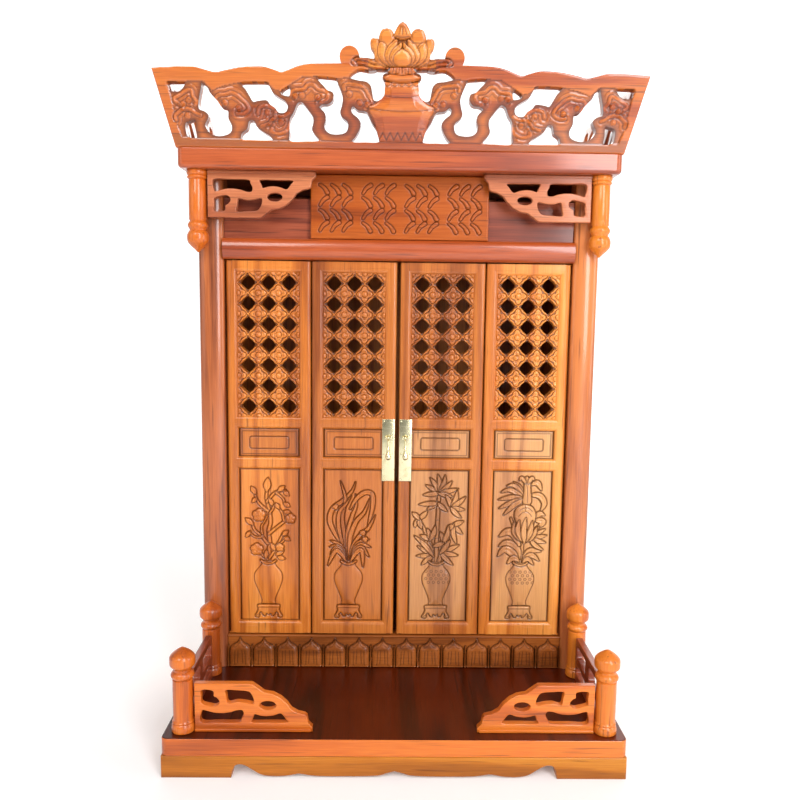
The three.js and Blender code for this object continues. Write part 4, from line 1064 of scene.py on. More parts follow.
leaves = []
for side, sign in (("left", -1), ("right", 1)):
    for place, tones in (("outer", amber), ("inner", ochre)):
        node = f"{side}_{place}_leaf"
        low, high = place_of(node)
        leaves.append((node, low, high, tones))
        form = bmesh.new()
        for edge_side, edge_x in ((-1, low[0]), (1, high[0])):
            span = sorted((edge_x, edge_x - edge_side * (stile - slope_width)))
            on_pivots = place == "outer" and edge_side == sign
            outer_round = pivot_edge if on_pivots else free_edge
            add_form(form, stile_board(span, high[2] - low[2], edge_side, outer_round))
        opening = (low[0] + stile - slope_width, high[0] - stile + slope_width)
        for part_name, (below, above) in rail_trims.items():
            z0, z1 = leaf_levels[part_name]
            rail_y = (leaf_front + 0.04, leaf_back - 0.3)
            add_form(form, board(opening, rail_y, (z0 + below, z1 - above), 0.25, 2))
        for part_name in ("panel", "waist", "lattice"):
            z0, z1 = leaf_levels[part_name]
            add_form(form, sloped_opening(opening, (z0 - slope_reach, z1 + slope_reach)))
        move(form, z=low[2])
        # The frames' low places round the panels are darkened: gathered polish and painted shade.
        stain_and_shade_low_places(form, leaf_front, start=2.2, full=4.4)
        piece(f"{node}_frame", form, finish_for(tones, "Z", True), node)

# %% [markdown]
# ## The lattice
# The upper panels are pierced: three holes across and seven up, each a circle drawn out into four points.
# A fine ribbon runs round every hole and meets its neighbours at the points, and a flower with four
# petals and a ringed eye fills each space between four holes. All of it repeats with the pitch, so it is
# written once, for the place of a point in its own cell.

# %% Four pierced lattices
lattice_columns, lattice_rows = 3, 7
lattice_pitch = 23.9
hole_radius, hole_point, hole_steps = 7.1, 1.4, 40
ribbon_gap, ribbon_half = 1.5, 0.95
eye_radius, ring_radius, ring_half = 3.5, 4.6, 0.8
petal_foot, petal_side, petal_length = 5.4, 5.6, 4.0

hole_shape = []
for step in range(hole_steps):
    angle = math.tau * step / hole_steps
    radius = hole_radius + hole_point * abs(math.cos(2 * angle)) ** 5
    hole_shape.append((radius * math.cos(angle), radius * math.sin(angle)))


def pierced_lattice(low, high):
    z0, z1 = (low[2] + level for level in leaf_levels["lattice"])
    middle_x = (low[0] + high[0]) / 2
    pitch_x, pitch_z = lattice_pitch, (z1 - z0) / lattice_rows
    carving = Carving((low[0] + stile - 2, high[0] - stile + 2), (z0, z1), step=0.62)
    # u and v are places in a hole's own cell, p and q are distances from the cell's corner, where a flower is
    u = (carving.x - middle_x + pitch_x / 2) % pitch_x - pitch_x / 2
    v = (carving.z - z0) % pitch_z - pitch_z / 2
    away, angle = np.hypot(u, v), np.arctan2(v * pitch_x / pitch_z, u)
    ribbon_start = hole_radius + ribbon_gap
    ribbon_at = ribbon_start + (pitch_x / 2 - ribbon_start) * np.abs(np.cos(2 * angle)) ** 9
    ribbon = half_round((away - ribbon_at) / ribbon_half)
    p, q = pitch_x / 2 - np.abs(u), pitch_z / 2 - np.abs(v)
    from_eye, eye_angle = np.hypot(p, q), np.arctan2(q, p)
    ring = half_round((from_eye - ring_radius) / ring_half)
    eye = half_round(from_eye / eye_radius)
    petal_reach = petal_side + petal_length * np.abs(np.cos(2 * eye_angle)) ** 2
    petal_share = np.clip((from_eye - petal_foot) / (petal_reach - petal_foot + 1e-6), 0, 1)
    petal = np.where((from_eye > petal_foot) & (from_eye < petal_reach),
                     np.sin(math.pi * petal_share ** 0.8) ** 0.6, 0)
    relief = np.maximum.reduce([1.7 * ribbon, 1.1 * ring, 2.4 * eye, 1.2 * petal])
    in_field = np.abs(carving.x - middle_x) < pitch_x * (lattice_columns / 2 + 0.02)
    carving.height = np.where(in_field, relief, 0.25)
    # Painted shade: the low places of the lattice, away from its raised ribbons and flowers, are darkened.
    carving.hollow = np.where(in_field, fade(relief, 0.7), 0)
    holes = []
    for column in range(lattice_columns):
        for row in range(lattice_rows):
            x = middle_x + (column - (lattice_columns - 1) / 2) * pitch_x
            z = z0 + (row + 0.5) * pitch_z
            holes.append([(x + across, z + up) for across, up in hole_shape])
    return carving.mesh(*panel_faces("lattice"), openings=holes)


for node, low, high, tones in leaves:
    piece(f"{node}_lattice", pierced_lattice(low, high), finish_for(tones, "Z", True), node, flat=False,
          crease=50)

# %% [markdown]
# ## Waist panels and flower panels
# Below each lattice lies a small plain panel with a sunk border line and a rounded frame cut in it. Under
# it is the tall panel that tells the four leaves apart: a vase on a scroll-footed stand, with plum,
# orchid, bamboo or peony in it. The real carver drew each plant with a V tool and rounded the wood
# between the lines. The same is done here: stems, blades and blossoms are laid over each other from back
# to front, each with its groove.

# %% Waist panels
def rounded_box(x, z, radius, steps=5):
    corners = ((x[1] - radius, z[0] + radius, 270), (x[1] - radius, z[1] - radius, 0),
               (x[0] + radius, z[1] - radius, 90), (x[0] + radius, z[0] + radius, 180))
    line = []
    for corner_x, corner_z, start in corners:
        line += arc(corner_x, corner_z, radius, radius, start, start + 90, steps)
    return line


def groove(carving, line, width, depth, closed=False):
    """A V groove along a line, darkened in it as stain and painted shade."""
    cut = fade(carving.measure(line, width, closed)[0], width / 2)
    carving.height = carving.height - depth * cut
    carving.hollow = np.maximum(carving.hollow, cut ** 0.6)


def leaf_panel(low, high, part_name, step):
    """The face of one of a leaf's panels, a little smaller than its opening."""
    z0, z1 = (low[2] + level for level in leaf_levels[part_name])
    return Carving((low[0] + stile + 0.5, high[0] - stile - 0.5), (z0 + 0.6, z1 - 0.6), step)


def sink_rim(carving, depth):
    """A panel falls away and is darkened where it meets its frame, as stain and painted shade."""
    gap = carving.rim_gap()
    carving.height -= depth * fade(gap, 1.2)
    carving.hollow = np.maximum(carving.hollow, np.clip(1.3 - gap / 1.5, 0, 1))


for node, low, high, _ in leaves:
    waist = leaf_panel(low, high, "waist", step=0.7)
    (x0, x1), (z0, z1) = waist.spans
    groove(waist, rounded_box((x0 + 3, x1 - 3), (z0 + 3, z1 - 3), 0.4), 1.6, 0.5, closed=True)
    groove(waist, rounded_box((x0 + 12, x1 - 12), (z0 + 9.4, z1 - 9.7), 2.6), 2.2, 1.1, closed=True)
    sink_rim(waist, 0.8)
    # The right-hand waists take the paler rose tone: partly their own tone, partly painted light from the
    # bright source on the right.
    tones = ochre if node.startswith("left") else rose
    piece(f"{node}_waist", waist.mesh(*panel_faces("waist")), finish_for(tones, "Z", True), node, flat=False)

# %% Plum and orchid, measured from the middle of the vase's mouth
def straight_leaves(panel, x, z, tips, width, sag=0.0):
    """Leaves from one place to each tip, with a bend halfway."""
    for tip_x, tip_z in tips:
        bend = ((x + tip_x) / 2 + (tip_z - z) * sag, (z + tip_z) / 2)
        panel.blade([(x, z), bend, (tip_x, tip_z)], width)


def plum(panel):
    trunk = [(0, -3), (0.7, 12), (1.8, 25), (0.4, 37), (2.9, 48), (2, 60), (-0.7, 72), (-2, 80), (-0.7, 90)]
    panel.stem(trunk, 4.6, 2.6)
    for line, start, end in (
            ([(1, 34), (9, 41), (20, 50), (26, 55)], 3.2, 2.2), ([(19, 51), (17, 60), (13, 66)], 2.2, 1.4),
            ([(-1, 22), (-9, 32), (-16, 38), (-20, 48)], 3.2, 2.0),
            ([(0, 62), (-9, 70), (-14, 77), (-16, 86)], 3, 1.8),
            ([(-1, 74), (7, 84), (14, 87), (21, 88)], 3, 1.8), ([(10, 85), (18, 78), (20, 71)], 2.2, 1.5),
            ([(2, 60), (6, 66), (5, 72)], 2.2, 1.6), ([(-7, 34), (-8, 43), (-4, 50), (-1, 56)], 2, 1.4),
            ([(1, 3), (8, 14), (14, 26), (18, 34)], 3, 2), ([(10, 20), (17, 24), (21, 30)], 2, 1.6),
            ([(-1, 2), (-8, 8), (-12, 14)], 2.6, 2), ([(-8, 30), (-16, 30), (-23, 36)], 2, 1.4)):
        panel.stem(line, start, end)
    for x, z, tip_x, tip_z, width in (
            (-1.5, 88, 0, 103, 8), (-15, 84, -20, 92, 5.5), (-14, 78, -19, 73, 4.5), (20, 86, 25, 82, 5),
            (13, 88, 20, 93, 5), (20, 72, 26, 68, 5), (13, 66, 9, 72, 4.5), (20, 62, 27, 60, 5),
            (5, 70, 2, 78, 4.5), (-19, 46, -27, 53, 5.5), (-22, 36, -27, 30, 4.5), (18, 33, 24, 38, 5),
            (20, 30, 26, 26, 5), (8, 14, 3, 22, 4.5), (10, 8, 19, 14, 5.5), (12, 5, 20, 3, 5),
            (-3, 4, -2, 14, 4.5)):
        straight_leaves(panel, x, z, [(tip_x, tip_z)], width)
    for x, z, radius in ((-11, 57, 8), (27, 53, 6.2), (-14, 14.5, 7.6), (14, 17, 5)):
        panel.flower(x, z, radius, 5)


def orchid(panel):
    for line, width in (
            ([(-8, 22), (-17, 36), (-23, 52), (-19, 66), (-7, 76), (4, 88), (8, 99)], 5.2),
            ([(-2, 0), (-5, 30), (-8, 56), (-4, 78), (-10, 100)], 4.6),
            ([(-6, 16), (-12, 44), (-11, 62), (-3, 72), (3, 82)], 4.2),
            ([(0, 0), (-1, 34), (4, 56), (9, 70), (8, 84)], 4.6),
            ([(2, 66), (9, 78), (19, 86), (28, 84), (29, 70), (25, 50), (23, 40)], 5),
            ([(1, 2), (2, 30), (9, 50), (19, 62), (25, 78)], 5),
            ([(2, 0), (6, 20), (15, 34), (24, 42), (32, 58)], 4.6),
            ([(4, 4), (9, 18), (17, 30), (22, 38)], 3.6)):
        panel.blade(line, width)
    for tip_x, tip_z, rise, width in (
            (-22, 26, 24, 5), (-23, 18, 20, 4.6), (-22, 9, 17, 4.6), (-25, -5, 13, 4.6), (25, 28, 26, 5),
            (27, 18, 22, 4.6), (25, 6, 18, 4.6), (18, -7, 14, 4.6)):
        side = 1 if tip_x > 0 else -1
        panel.blade([(side * 3, 1), (side * 9, rise * 0.75), (side * 16, rise), (tip_x, tip_z)], width)
    for x, z in ((-16, 68), (17, 36), (20, 28)):
        panel.flower(x, z, 3.4, 3, turned_by=0.9)


print("plum and orchid are drawn")

# %% Bamboo and peony
def bamboo(panel):
    for line in ([(-2, -3), (-8, 24), (-16, 42), (-24, 57)], [(0, -3), (0, 30), (1, 60), (2, 88)],
                 [(2, -3), (8, 18), (15, 34), (21, 48)]):
        panel.stem(line, 4.4, 3)
        along = smooth_line(line, 8, closed=False)
        for joint_share in (0.35, 0.62, 0.85):
            x, z = along[int(joint_share * (len(along) - 1))]
            groove(panel, [(x - 2.4, z), (x + 2.4, z + 0.4)], 1.2, 0.7)
    fans = (((2, 86), ((-14, 96), (-9, 105), (0, 109), (9, 108), (17, 101), (25, 92), (-17, 84), (18, 82))),
            ((1, 74), ((-12, 66), (-22, 72), (12, 64))),
            ((17, 68), ((10, 84), (24, 90), (34, 82), (33, 66), (29, 56))),
            ((20, 47), ((31, 36), (24, 24), (32, 52), (12, 40))),
            ((-22, 54), ((-12, 64), (-27, 44), (-18, 42), (-30, 62))),
            ((-4, 8), ((-23, 20), (-24, 8), (-18, -3), (-15, 28), (-27, 33))),
            ((5, 12), ((27, 22), (26, 9), (20, -3), (16, 28))),
            ((-8, 28), ((-20, 34), (-12, 42), (-2, 46))), ((8, 24), ((4, 38), (14, 46), (-4, 20))))
    for (x, z), tips in fans:
        straight_leaves(panel, x, z, tips, 5.2, sag=0.08)


def bent_leaves(panel, root, bends_and_tips, width, **more):
    """Leaves from one place, each given by its bend and its tip."""
    for bend_x, bend_z, tip_x, tip_z in bends_and_tips:
        panel.blade([root, (bend_x, bend_z), (tip_x, tip_z)], width, **more)


def peony(panel):
    panel.stem([(-1, -3), (1, 14), (2, 28)], 4.4, 3.4)
    panel.stem([(-2, 27), (-6, 36), (-10, 47), (-13, 56)], 3.2, 2)
    for line, width in (
            ([(-2, 5), (-6, 18), (-17, 25), (-27, 21)], 10), ([(-3, 4), (-11, 13), (-20, 17), (-28, 8)], 9),
            ([(-2, 23), (-8, 36), (-17, 39), (-27, 33)], 10), ([(3, 3), (9, 13), (15, 16), (25, 15)], 7),
            ([(3, 3), (13, 10), (23, 3)], 6), ([(3, 1), (9, 5), (16, -2)], 5),
            ([(-2, 3), (-9, 6), (-16, -1)], 6), ([(10, 85), (21, 84), (27, 75), (23, 65)], 7),
            ([(11, 98), (18, 100), (23, 91)], 6), ([(16, 56), (22, 62), (28, 60)], 6),
            ([(16, 54), (26, 52), (20, 44)], 7)):
        panel.blade(line, width)
    upper = ((-4, 95, -11, 101), (-9, 96, -19, 96), (-14, 91, -26, 88), (-12, 82, -29, 79),
             (-12, 76, -28, 68), (-10, 72, -22, 60))
    bent_leaves(panel, (3, 80), upper, 5.6)
    lower = ((17, 40, 22, 46), (21, 38, 29, 43), (22, 33, 31, 35), (21, 28, 30, 26), (18, 22, 27, 17))
    bent_leaves(panel, (11, 30), lower, 5)
    top_bud = [(5, 108), (9, 103), (10, 90), (11, 76), (5, 70), (1, 76), (2, 90), (2, 102)]
    panel.figure(smooth_line(top_bud, 4), 2.0, soft=5)
    groove(panel, [(4, 104), (6, 90), (6, 76)], 1.3, 0.8)
    for side in (-1, 1):
        panel.blade([(5 + side * 2, 100), (5 + side * 6, 106), (5 + side * 9, 103)], 4)
    big_bud = [(-8, 55), (-8.4, 65), (-3, 71), (5, 73), (13, 70), (17, 61), (15, 50), (9, 42), (-1, 44)]
    panel.figure(smooth_line(big_bud, 4), 2.6, soft=10)
    for line in ([(-3, 66), (2, 69), (8, 69), (13, 65)], [(-4, 59), (1, 64), (7, 64), (12, 59)],
                 [(4, 72), (4, 66)]):
        groove(panel, smooth_line(line, 4, closed=False), 1.3, 0.8)
    cup = ((-8, 38, -9, 52), (15, 36, 19, 46), (-4, 40, -3, 54), (11, 40, 13, 53), (3, 42, 5, 57))
    bent_leaves(panel, (4, 26), cup, 6.4, height=2.0)


print("bamboo and peony are drawn")

# %% The vase on its stand, and the four panels
vase_mouth = 90


def both_sides(half):
    """A closed outline from its right half, whose ends lie on the axis."""
    return half + [(-x, z) for x, z in reversed(half) if abs(x) > 1e-6]


def small_ring(panel, x, z, radius, width, depth):
    """A ring cut with five strokes."""
    groove(panel, arc(x, z, radius, radius, 0, 288, 4), width, depth, closed=True)


def vase_and_stand(panel, patterned):
    half_vase = [(8.4, 0), (7.6, -3), (10.8, -8), (15.2, -13.5), (16.9, -19), (16.2, -26), (13.2, -34),
                 (9.6, -43), (7.8, -49), (8.4, -54)]
    panel.figure(both_sides(smooth_line(half_vase, 4, closed=False)), 1.7, soft=11, groove=1.3, depth=0.9)
    panel.stem([(-8.6, 0.5), (-5, -2), (0, -3), (5, -2), (8.6, 0.5)], 2.2, 2.2, height=1.5)
    if patterned:
        for row in range(4):
            for column in range(-2, 3):
                small_ring(panel, (column + 0.5 * (row % 2)) * 6.2, -11 - row * 4.6, 1.7, 1.1, 0.35)
    half_stand = [(0, 35.2), (11, 35), (13.4, 33.4), (12.6, 29), (14.2, 24.5), (16, 21.5), (15.4, 19.2),
                  (12.6, 19), (11.4, 21.6), (12.2, 23), (9.4, 26), (7, 22.8), (4.6, 20.4), (2.6, 24),
                  (0, 22)]
    stand = both_sides(smooth_line(half_stand, 3, closed=False))
    panel.figure([(x, z - vase_mouth) for x, z in stand], 1.5, soft=2.2)
    groove(panel, [(-12, 32 - vase_mouth), (12, 32 - vase_mouth)], 1.2, 0.6)
    for side in (-1, 1):
        small_ring(panel, side * 13.6, 21.3 - vase_mouth, 1.3, 1.0, 0.5)


# The right-hand panels take the paler rose tone: partly their own tone, partly painted light from the bright
# source on the right.
plants = {"left_outer_leaf": (plum, -2, amber), "left_inner_leaf": (orchid, -5.5, ochre),
          "right_inner_leaf": (bamboo, -2, rose), "right_outer_leaf": (peony, 0, rose)}
for node, low, high, _ in leaves:
    plant, aside, tones = plants[node]
    panel = leaf_panel(low, high, "panel", step=0.58)
    mouth_x, mouth_z = sum(panel.spans[0]) / 2 + aside, low[2] + vase_mouth
    panel.shift(-mouth_x, -mouth_z)
    plant(panel)
    vase_and_stand(panel, node.startswith("right"))
    panel.shift(mouth_x, mouth_z)
    sink_rim(panel, 0.7)
    piece(f"{node}_panel", panel.mesh(*panel_faces("panel")), finish_for(tones, "Z", True), node, flat=False,
          crease=70)

# %% [markdown]
# ## The crest
# The crest stands on the roof's front edge and leans forward. Its frame is flat; inside it, clouds with
# scrolled bosses ride on S-shaped stems that meet in U curves, and in the middle a lotus opens out of a
# vase. The shapes are given in shares of the crest's half width and height, because the board widens
# upwards; a fine grid is cut to them, rounded where the stems are, and the clouds' ridges, the petals and
# the vase are laid on.

# %% The crest's lines
crest_half = 249
crest_top_share = 162
lotus_tall = 49


def on_side(line, side):
    return [(side * x, z) for x, z in line]


def crest_spot(across, up):
    z = up / 100 * crest_tall if up <= 100 else crest_tall + (up - 100) / (crest_top_share - 100) * lotus_tall
    return across / 100 * (crest_half + crest_flare * min(up / 100, 1)), z


def crest_spots(shares, side=1):
    """A line given in shares, on the right side (1) or mirrored on the left (-1)."""
    return on_side([crest_spot(*share) for share in shares], side)


crest_openings = [
    [(21.2, 92.9), (17.5, 102.2), (12.9, 100.8), (9.6, 102), (4.8, 103.2), (5.3, 100), (7.4, 96.7),
     (7.7, 92.4), (6.8, 85.4), (7, 76.8), (7.2, 70.3), (8.6, 64.9), (10.4, 63.2), (11.7, 65.3),
     (12.1, 72.3), (12.7, 82), (14.5, 87.3), (17.8, 88.8)],
    [(34.1, 92.5), (30.3, 92.1), (26.7, 90.6), (26.1, 84.7), (25.1, 76.1), (24.4, 66.5), (25, 56.8),
     (25.9, 48.1), (25.1, 41.7), (23.1, 36.4), (22.9, 29.9), (24, 22.9), (26.8, 20.1), (30.7, 20.5),
     (32.7, 25.3), (33, 31.8), (32.2, 39.3), (32.4, 46.8), (33.8, 52.2), (34.4, 54.8), (32.9, 58.1),
     (30.8, 58.7), (29, 62), (28.1, 68.5), (28.6, 73.9), (30.5, 75.9), (32, 81.3), (33.5, 86.6)],
    [(21.4, 10.4), (19.6, 18.2), (17.8, 28), (17.4, 35.5), (18.7, 41.9), (20.7, 47.2), (21.1, 52.6),
     (20.2, 55.9), (18.5, 51.6), (15.4, 50.1), (14.2, 46.4), (12.7, 35.7), (10.8, 27.1), (9.9, 16.4),
     (9.9, 10.5), (15.8, 10)],
    [(48.7, 10.2), (48.4, 22.6), (47.5, 38.8), (45.5, 47.5), (43.6, 58.3), (41.9, 60.5), (40.5, 56.2),
     (39.1, 49.8), (37.7, 42.4), (37.7, 34.8), (38.6, 26.2), (37.8, 19.8), (36.2, 11.2), (42.5, 10)],
    [(49.7, 72), (48.8, 75.8), (46.7, 79.7), (45.8, 77.6), (45.9, 72.2), (46.5, 67.9), (47.7, 67.8),
     (49.5, 69.4)],
    [(65.5, 83.3), (60.3, 84.6), (54.9, 84.2), (53.8, 77.3), (52.9, 71), (51, 66.6), (48.6, 61.3),
     (47.7, 54.9), (48.6, 48.4), (50.4, 46.2), (52.1, 47.2), (53.2, 52.6), (55, 56.8), (56.3, 62.1),
     (60.1, 60.9), (61.9, 59.8), (62.9, 66.2), (64, 74.8)],
    [(70, 14.4), (69.2, 19.8), (66.6, 25.3), (65.6, 32.8), (64.7, 36.1), (63, 35), (62.1, 27.6), (59.7, 21.2),
     (57.5, 17), (56.5, 12.7), (57.2, 10.5), (63.8, 10.3), (69.9, 11.2)],
    [(81.3, 82.7), (79.6, 77.4), (78.9, 69.9), (76.9, 61.4), (75.6, 52.9), (73.7, 50.8), (73.2, 46.5),
     (73.7, 37.9), (73, 29.3), (73.7, 21.8), (75.8, 17.4), (79.3, 15.2), (82.3, 17.2), (84, 22.5), (84.3, 30),
     (82.5, 37.6), (82, 43), (83.4, 47.2), (85.2, 49.3), (84.9, 56.9), (83.5, 67.6), (82.2, 76.3)],
    [(95.3, 82.8), (91.8, 83.4), (88.4, 83.6), (88.4, 80.3), (90.4, 73.8), (92.3, 71.1), (95.3, 72),
     (95.9, 76.9)],
    [(92.7, 30.8), (90.6, 34.1), (88, 35.3), (88.8, 24.5), (89.2, 13.8), (90.8, 12.1), (93.2, 13.6),
     (93.5, 20.1)],
]
crest_window = [(4.8, 103.2), (17.5, 102.2), (21.4, 92.4), (26.4, 90.6), (34.9, 93), (40.3, 91.7),
                (45.8, 81.9), (49.9, 74.2), (52.7, 76.2), (54.6, 84.8), (65.7, 83.8), (72, 79.8),
                (78.1, 73.2), (80.4, 83.8), (81.9, 84.9), (95.4, 83.3), (96.5, 28.6), (95.8, 12.5),
                (89.2, 12), (70.2, 11.2), (56.8, 10.5), (36.1, 11), (9.6, 10.5)]
cloud_ridges = [
    [(23.6, 77.3), (23.6, 81.6), (22.2, 84), (19.9, 83.3), (16.9, 81.8), (14.9, 77.6), (13.7, 70.1),
     (12.6, 63.7), (13.1, 56.1), (15.3, 53.9)],
    [(44.3, 64.7), (45.7, 70), (44.1, 75.5), (40.3, 76.7), (38.4, 82.1), (36, 82.2), (34.2, 76.9),
     (31.6, 75.4), (30.4, 70.6), (31.3, 64.1), (33.8, 60.8)],
    [(60.9, 44.8), (59.7, 52.4), (56.7, 55.7), (54.1, 52.5), (53.1, 47.2), (54, 42.9)],
    [(47.6, 46.3), (50.7, 41.9), (53.1, 41.8), (55.6, 36.4), (56.8, 32), (60.3, 28.7)],
    [(47.6, 34.5), (49.6, 23.7), (53.5, 19.3), (56.5, 22.4), (55.8, 25.6)],
    [(75.7, 55), (77, 60.3), (77, 64.6), (75.3, 67.9), (72.9, 68.5), (70.3, 70.8), (68.2, 68.2), (66.5, 62.9),
     (64.8, 56.5), (64.4, 50), (66.9, 44.6), (69.7, 44.5)],
    [(93, 54.4), (94.5, 59.7), (94.2, 63), (91.7, 67.3), (88.4, 72.8), (86.4, 72.9), (86.4, 65.4), (85.4, 59),
     (86.5, 54.6)],
    [(96.2, 35), (95.8, 41.5), (91.9, 49.1), (89.1, 49.2), (86.8, 43.9), (85.3, 41.8)],
]
cloud_bosses = [(21.7, 71.4), (17.5, 60.3), (14.2, 58.5), (41.2, 68.6), (34.8, 66.1), (44.1, 68),
                (56.6, 46.5), (51.5, 34.4), (73.8, 57.8), (68.5, 51), (88.5, 60.5), (91.5, 55),
                (90.8, 40.5)]
crest_wave = [(17, 109), (24.9, 109), (36.4, 108), (41.4, 105.1), (45.9, 99.6), (48.6, 97.3), (50.6, 99.3),
              (55.4, 103.5), (60.4, 103.4), (65, 102.1), (71.2, 98.1), (75, 95.8), (79.7, 99.4), (83.4, 102),
              (91.6, 101.7), (100, 99.8)]
knob_centre, knob_radius = (21, 117), 10.5
print("crest:", len(crest_openings), "openings and", len(cloud_ridges), "ridges on each side")

# %% The lotus and the vase, in millimetres from the middle of the crest's foot
lotus_petals = [
    ([(25, 109.8), (29.3, 111.4), (33.4, 109.3), (33.9, 103.9), (30.3, 97.6), (28.8, 88.9), (21.6, 84),
      (17, 83.1), (18, 92.8), (21, 101.5)], 1.2),
    ([(8.7, 113.9), (11.3, 118.5), (15.4, 120.7), (20.6, 120), (23.6, 116.1), (25, 110.3), (21.6, 102),
      (14.9, 100), (8, 104)], 1.7),
    ([(10.8, 82.3), (19, 85), (24.7, 90.8), (26.2, 98.6), (24.4, 106.4), (19, 105.4), (14.4, 98.6),
      (11, 90.8), (9, 85)], 2.4),
    ([(7.7, 82.3), (15.4, 86), (18.5, 92.8), (16.4, 100.5), (11.3, 106.4), (5.7, 110.3), (5, 104.4), (7, 96),
      (7, 88)], 3.0),
    ([(5.1, 82.3), (11.3, 86), (13.4, 91.8), (10.3, 98.6), (5.1, 103.5), (1, 107.3), (1, 100), (3, 92),
      (4, 86)],
     3.5),
]
lotus_bud = [(0, 127.2), (3.6, 124.8), (6.2, 120.9), (8.9, 115.1), (7.7, 111.5), (0, 109.5)]
lotus_bulb = [(0, 81.9), (5.7, 82.9), (9.2, 86.5), (8.9, 91.8), (5.7, 96.2), (2.1, 98.6), (0, 101.3)]
lotus_stalk = [(0, 84), (12.8, 82.1), (15.9, 79.2), (13.9, 76.3), (0, 74.4)]
flower_arm = [(13.9, 81.1), (22.1, 80), (30.3, 80.6), (36.5, 82.6), (42.7, 84.5), (50.9, 83.6), (54, 86.5),
              (49.8, 90.8), (41.6, 91.3), (34.4, 90.4), (26.2, 90.5), (16, 90)]
arm_ridges = [[(16, 84.6), (26.2, 85), (34.4, 87), (41.6, 88.8), (50, 89)],
              [(20, 81.6), (30.3, 82.4), (38.5, 85), (47, 86)]]
vase_foot_dish = [(0, 75.8), (12.8, 75.8), (21, 72.4), (18, 69.5), (9.8, 67.5), (0, 67.1)]
crest_vase = [(0, 68), (20.6, 68), (19, 63.7), (20, 56.9), (22.1, 52), (28.3, 47.1), (34.4, 43.8), (36, 40.8),
              (31.3, 31.6), (27.2, 20), (25.2, 8.4), (0, 8.4)]


flower_foot, flower_share = 84, 0.93


def settled(points):
    """The flower drawn a little lower than it was measured, so that its bud ends under the crest's top."""
    return [(x, z if z < flower_foot else flower_foot + flower_share * (z - flower_foot)) for x, z in points]


lotus_petals = [(settled(points), lift) for points, lift in lotus_petals]
lotus_bud, lotus_bulb = settled(lotus_bud), settled(lotus_bulb)
lotus_core = [(0, 112), (7, 111), (9.5, 104), (8, 94), (0, 92)]
print("lotus:", len(lotus_petals), "petals on each side")

# %% Carve the crest
crest_low, crest_high = place_of("crest_front")
crest_reach = crest_half + crest_flare + 1
crest = Carving((-crest_reach, crest_reach), (0, 127.6), step=0.95)
wave = crest_spots(smooth_line(crest_wave, 4, closed=False))
board_top = 1.04 * crest_tall
board_line = both_sides([(0, board_top), (0.5, flower_foot), *wave, crest_spot(100, 0), (0, 0)])
knob_x, knob_z = crest_spot(*knob_centre)
silhouette = [board_line]
for side in (-1, 1):
    silhouette.append(arc(side * knob_x, knob_z, knob_radius, knob_radius, 0, 351, 39))
    silhouette.append(on_side(smooth_line(flower_arm, 3), side))
    silhouette += [on_side(smooth_line(points, 4), side) for points, lift in lotus_petals]
for half in (lotus_core, lotus_bud, lotus_bulb, lotus_stalk, vase_foot_dish):
    silhouette.append(both_sides(half))
holes = [crest_spots(smooth_line(shares, 4), side) for shares in crest_openings for side in (-1, 1)]
print(len(silhouette), "outlines and", len(holes), "openings")

# %% Round the stems
edge_far = np.full(crest.x.shape, 1e3)
for line in holes + [board_line]:
    edge_far = np.minimum(edge_far, crest.measure(line, 7, closed=True)[0])
window = crest_spots(crest_window)
in_window = crest.inside(both_sides(window)) & (np.abs(crest.x) > 3)
stem_sink, stem_fall, stem_round = 1.4, 5.4, 6.4
round_off = fade(edge_far, stem_round) ** 2
crest.height = np.where(in_window, -stem_sink - stem_fall * round_off, -0.8 * fade(edge_far, 1.3) ** 2)
window_far = np.minimum(*(crest.measure(on_side(window, side), 2)[0] for side in (-1, 1)))
# Painted shade: the sunk field of the windows, darkest where it meets their frame and on the falling sides of
# the stems, and a painted shadow on the crest's foot towards its ends.
shaded = 0.16 + 0.84 * np.maximum(fade(window_far, 1.6), round_off ** 0.6)
foot_shade = 0.5 * np.clip((np.abs(crest.x) - 60) / 80, 0, 1) * (crest.z < 14) * (edge_far > 1)
crest.hollow = np.where(in_window, shaded, foot_shade)
print("share of the crest inside its frame:", round(float(in_window.mean()), 2))


# %% Lay on the clouds' ridges and bosses
def ridge(line, width, rise, echo=0.0):
    """A rounded cord raised from whatever is under it, with a groove on both sides. An echo is a lower and
    thinner cord that runs round it."""
    far = crest.measure(smooth_line(line, 4, closed=False), 8)[0]
    half = width / 2
    beside = fade(np.abs(far - half - 0.9), 1.2)
    crest.height += rise * half_round(far / half) - 1.1 * beside
    # The grooves beside a cord, and beside its echo, are darkened: partly stain, partly painted shade.
    crest.hollow = np.maximum(crest.hollow * (far > half), beside)
    if echo:
        outside = fade(np.abs(far - half - 4.9), 1.1) * in_window
        crest.height += echo * half_round((far - half - 3.0) / 1.2) * in_window - 0.7 * outside
        crest.hollow = np.maximum(crest.hollow, 0.8 * outside)


def boss(x, z, radius, rise):
    """A round knob with a groove and a low ring round it."""
    away = np.hypot(crest.x - x, crest.z - z)
    beside = fade(np.abs(away - radius - 0.7), 0.9)
    crest.height += rise * half_round(away / radius) - 0.8 * beside
    crest.height += 0.7 * fade(np.abs(away - radius - 2.3), 0.9)
    # The groove round a boss is darkened: partly stain, partly painted shade.
    crest.hollow = np.maximum(crest.hollow * (away > radius), beside)


for side in (-1, 1):
    for shares in cloud_ridges:
        ridge(crest_spots(shares, side), 3.0, 2.4, 1.1)
    for share in cloud_bosses:
        x, z = crest_spot(*share)
        boss(side * x, z, 3.0, 3.0)
print("highest point of the clouds:", round(float(crest.height.max()), 1), "mm")

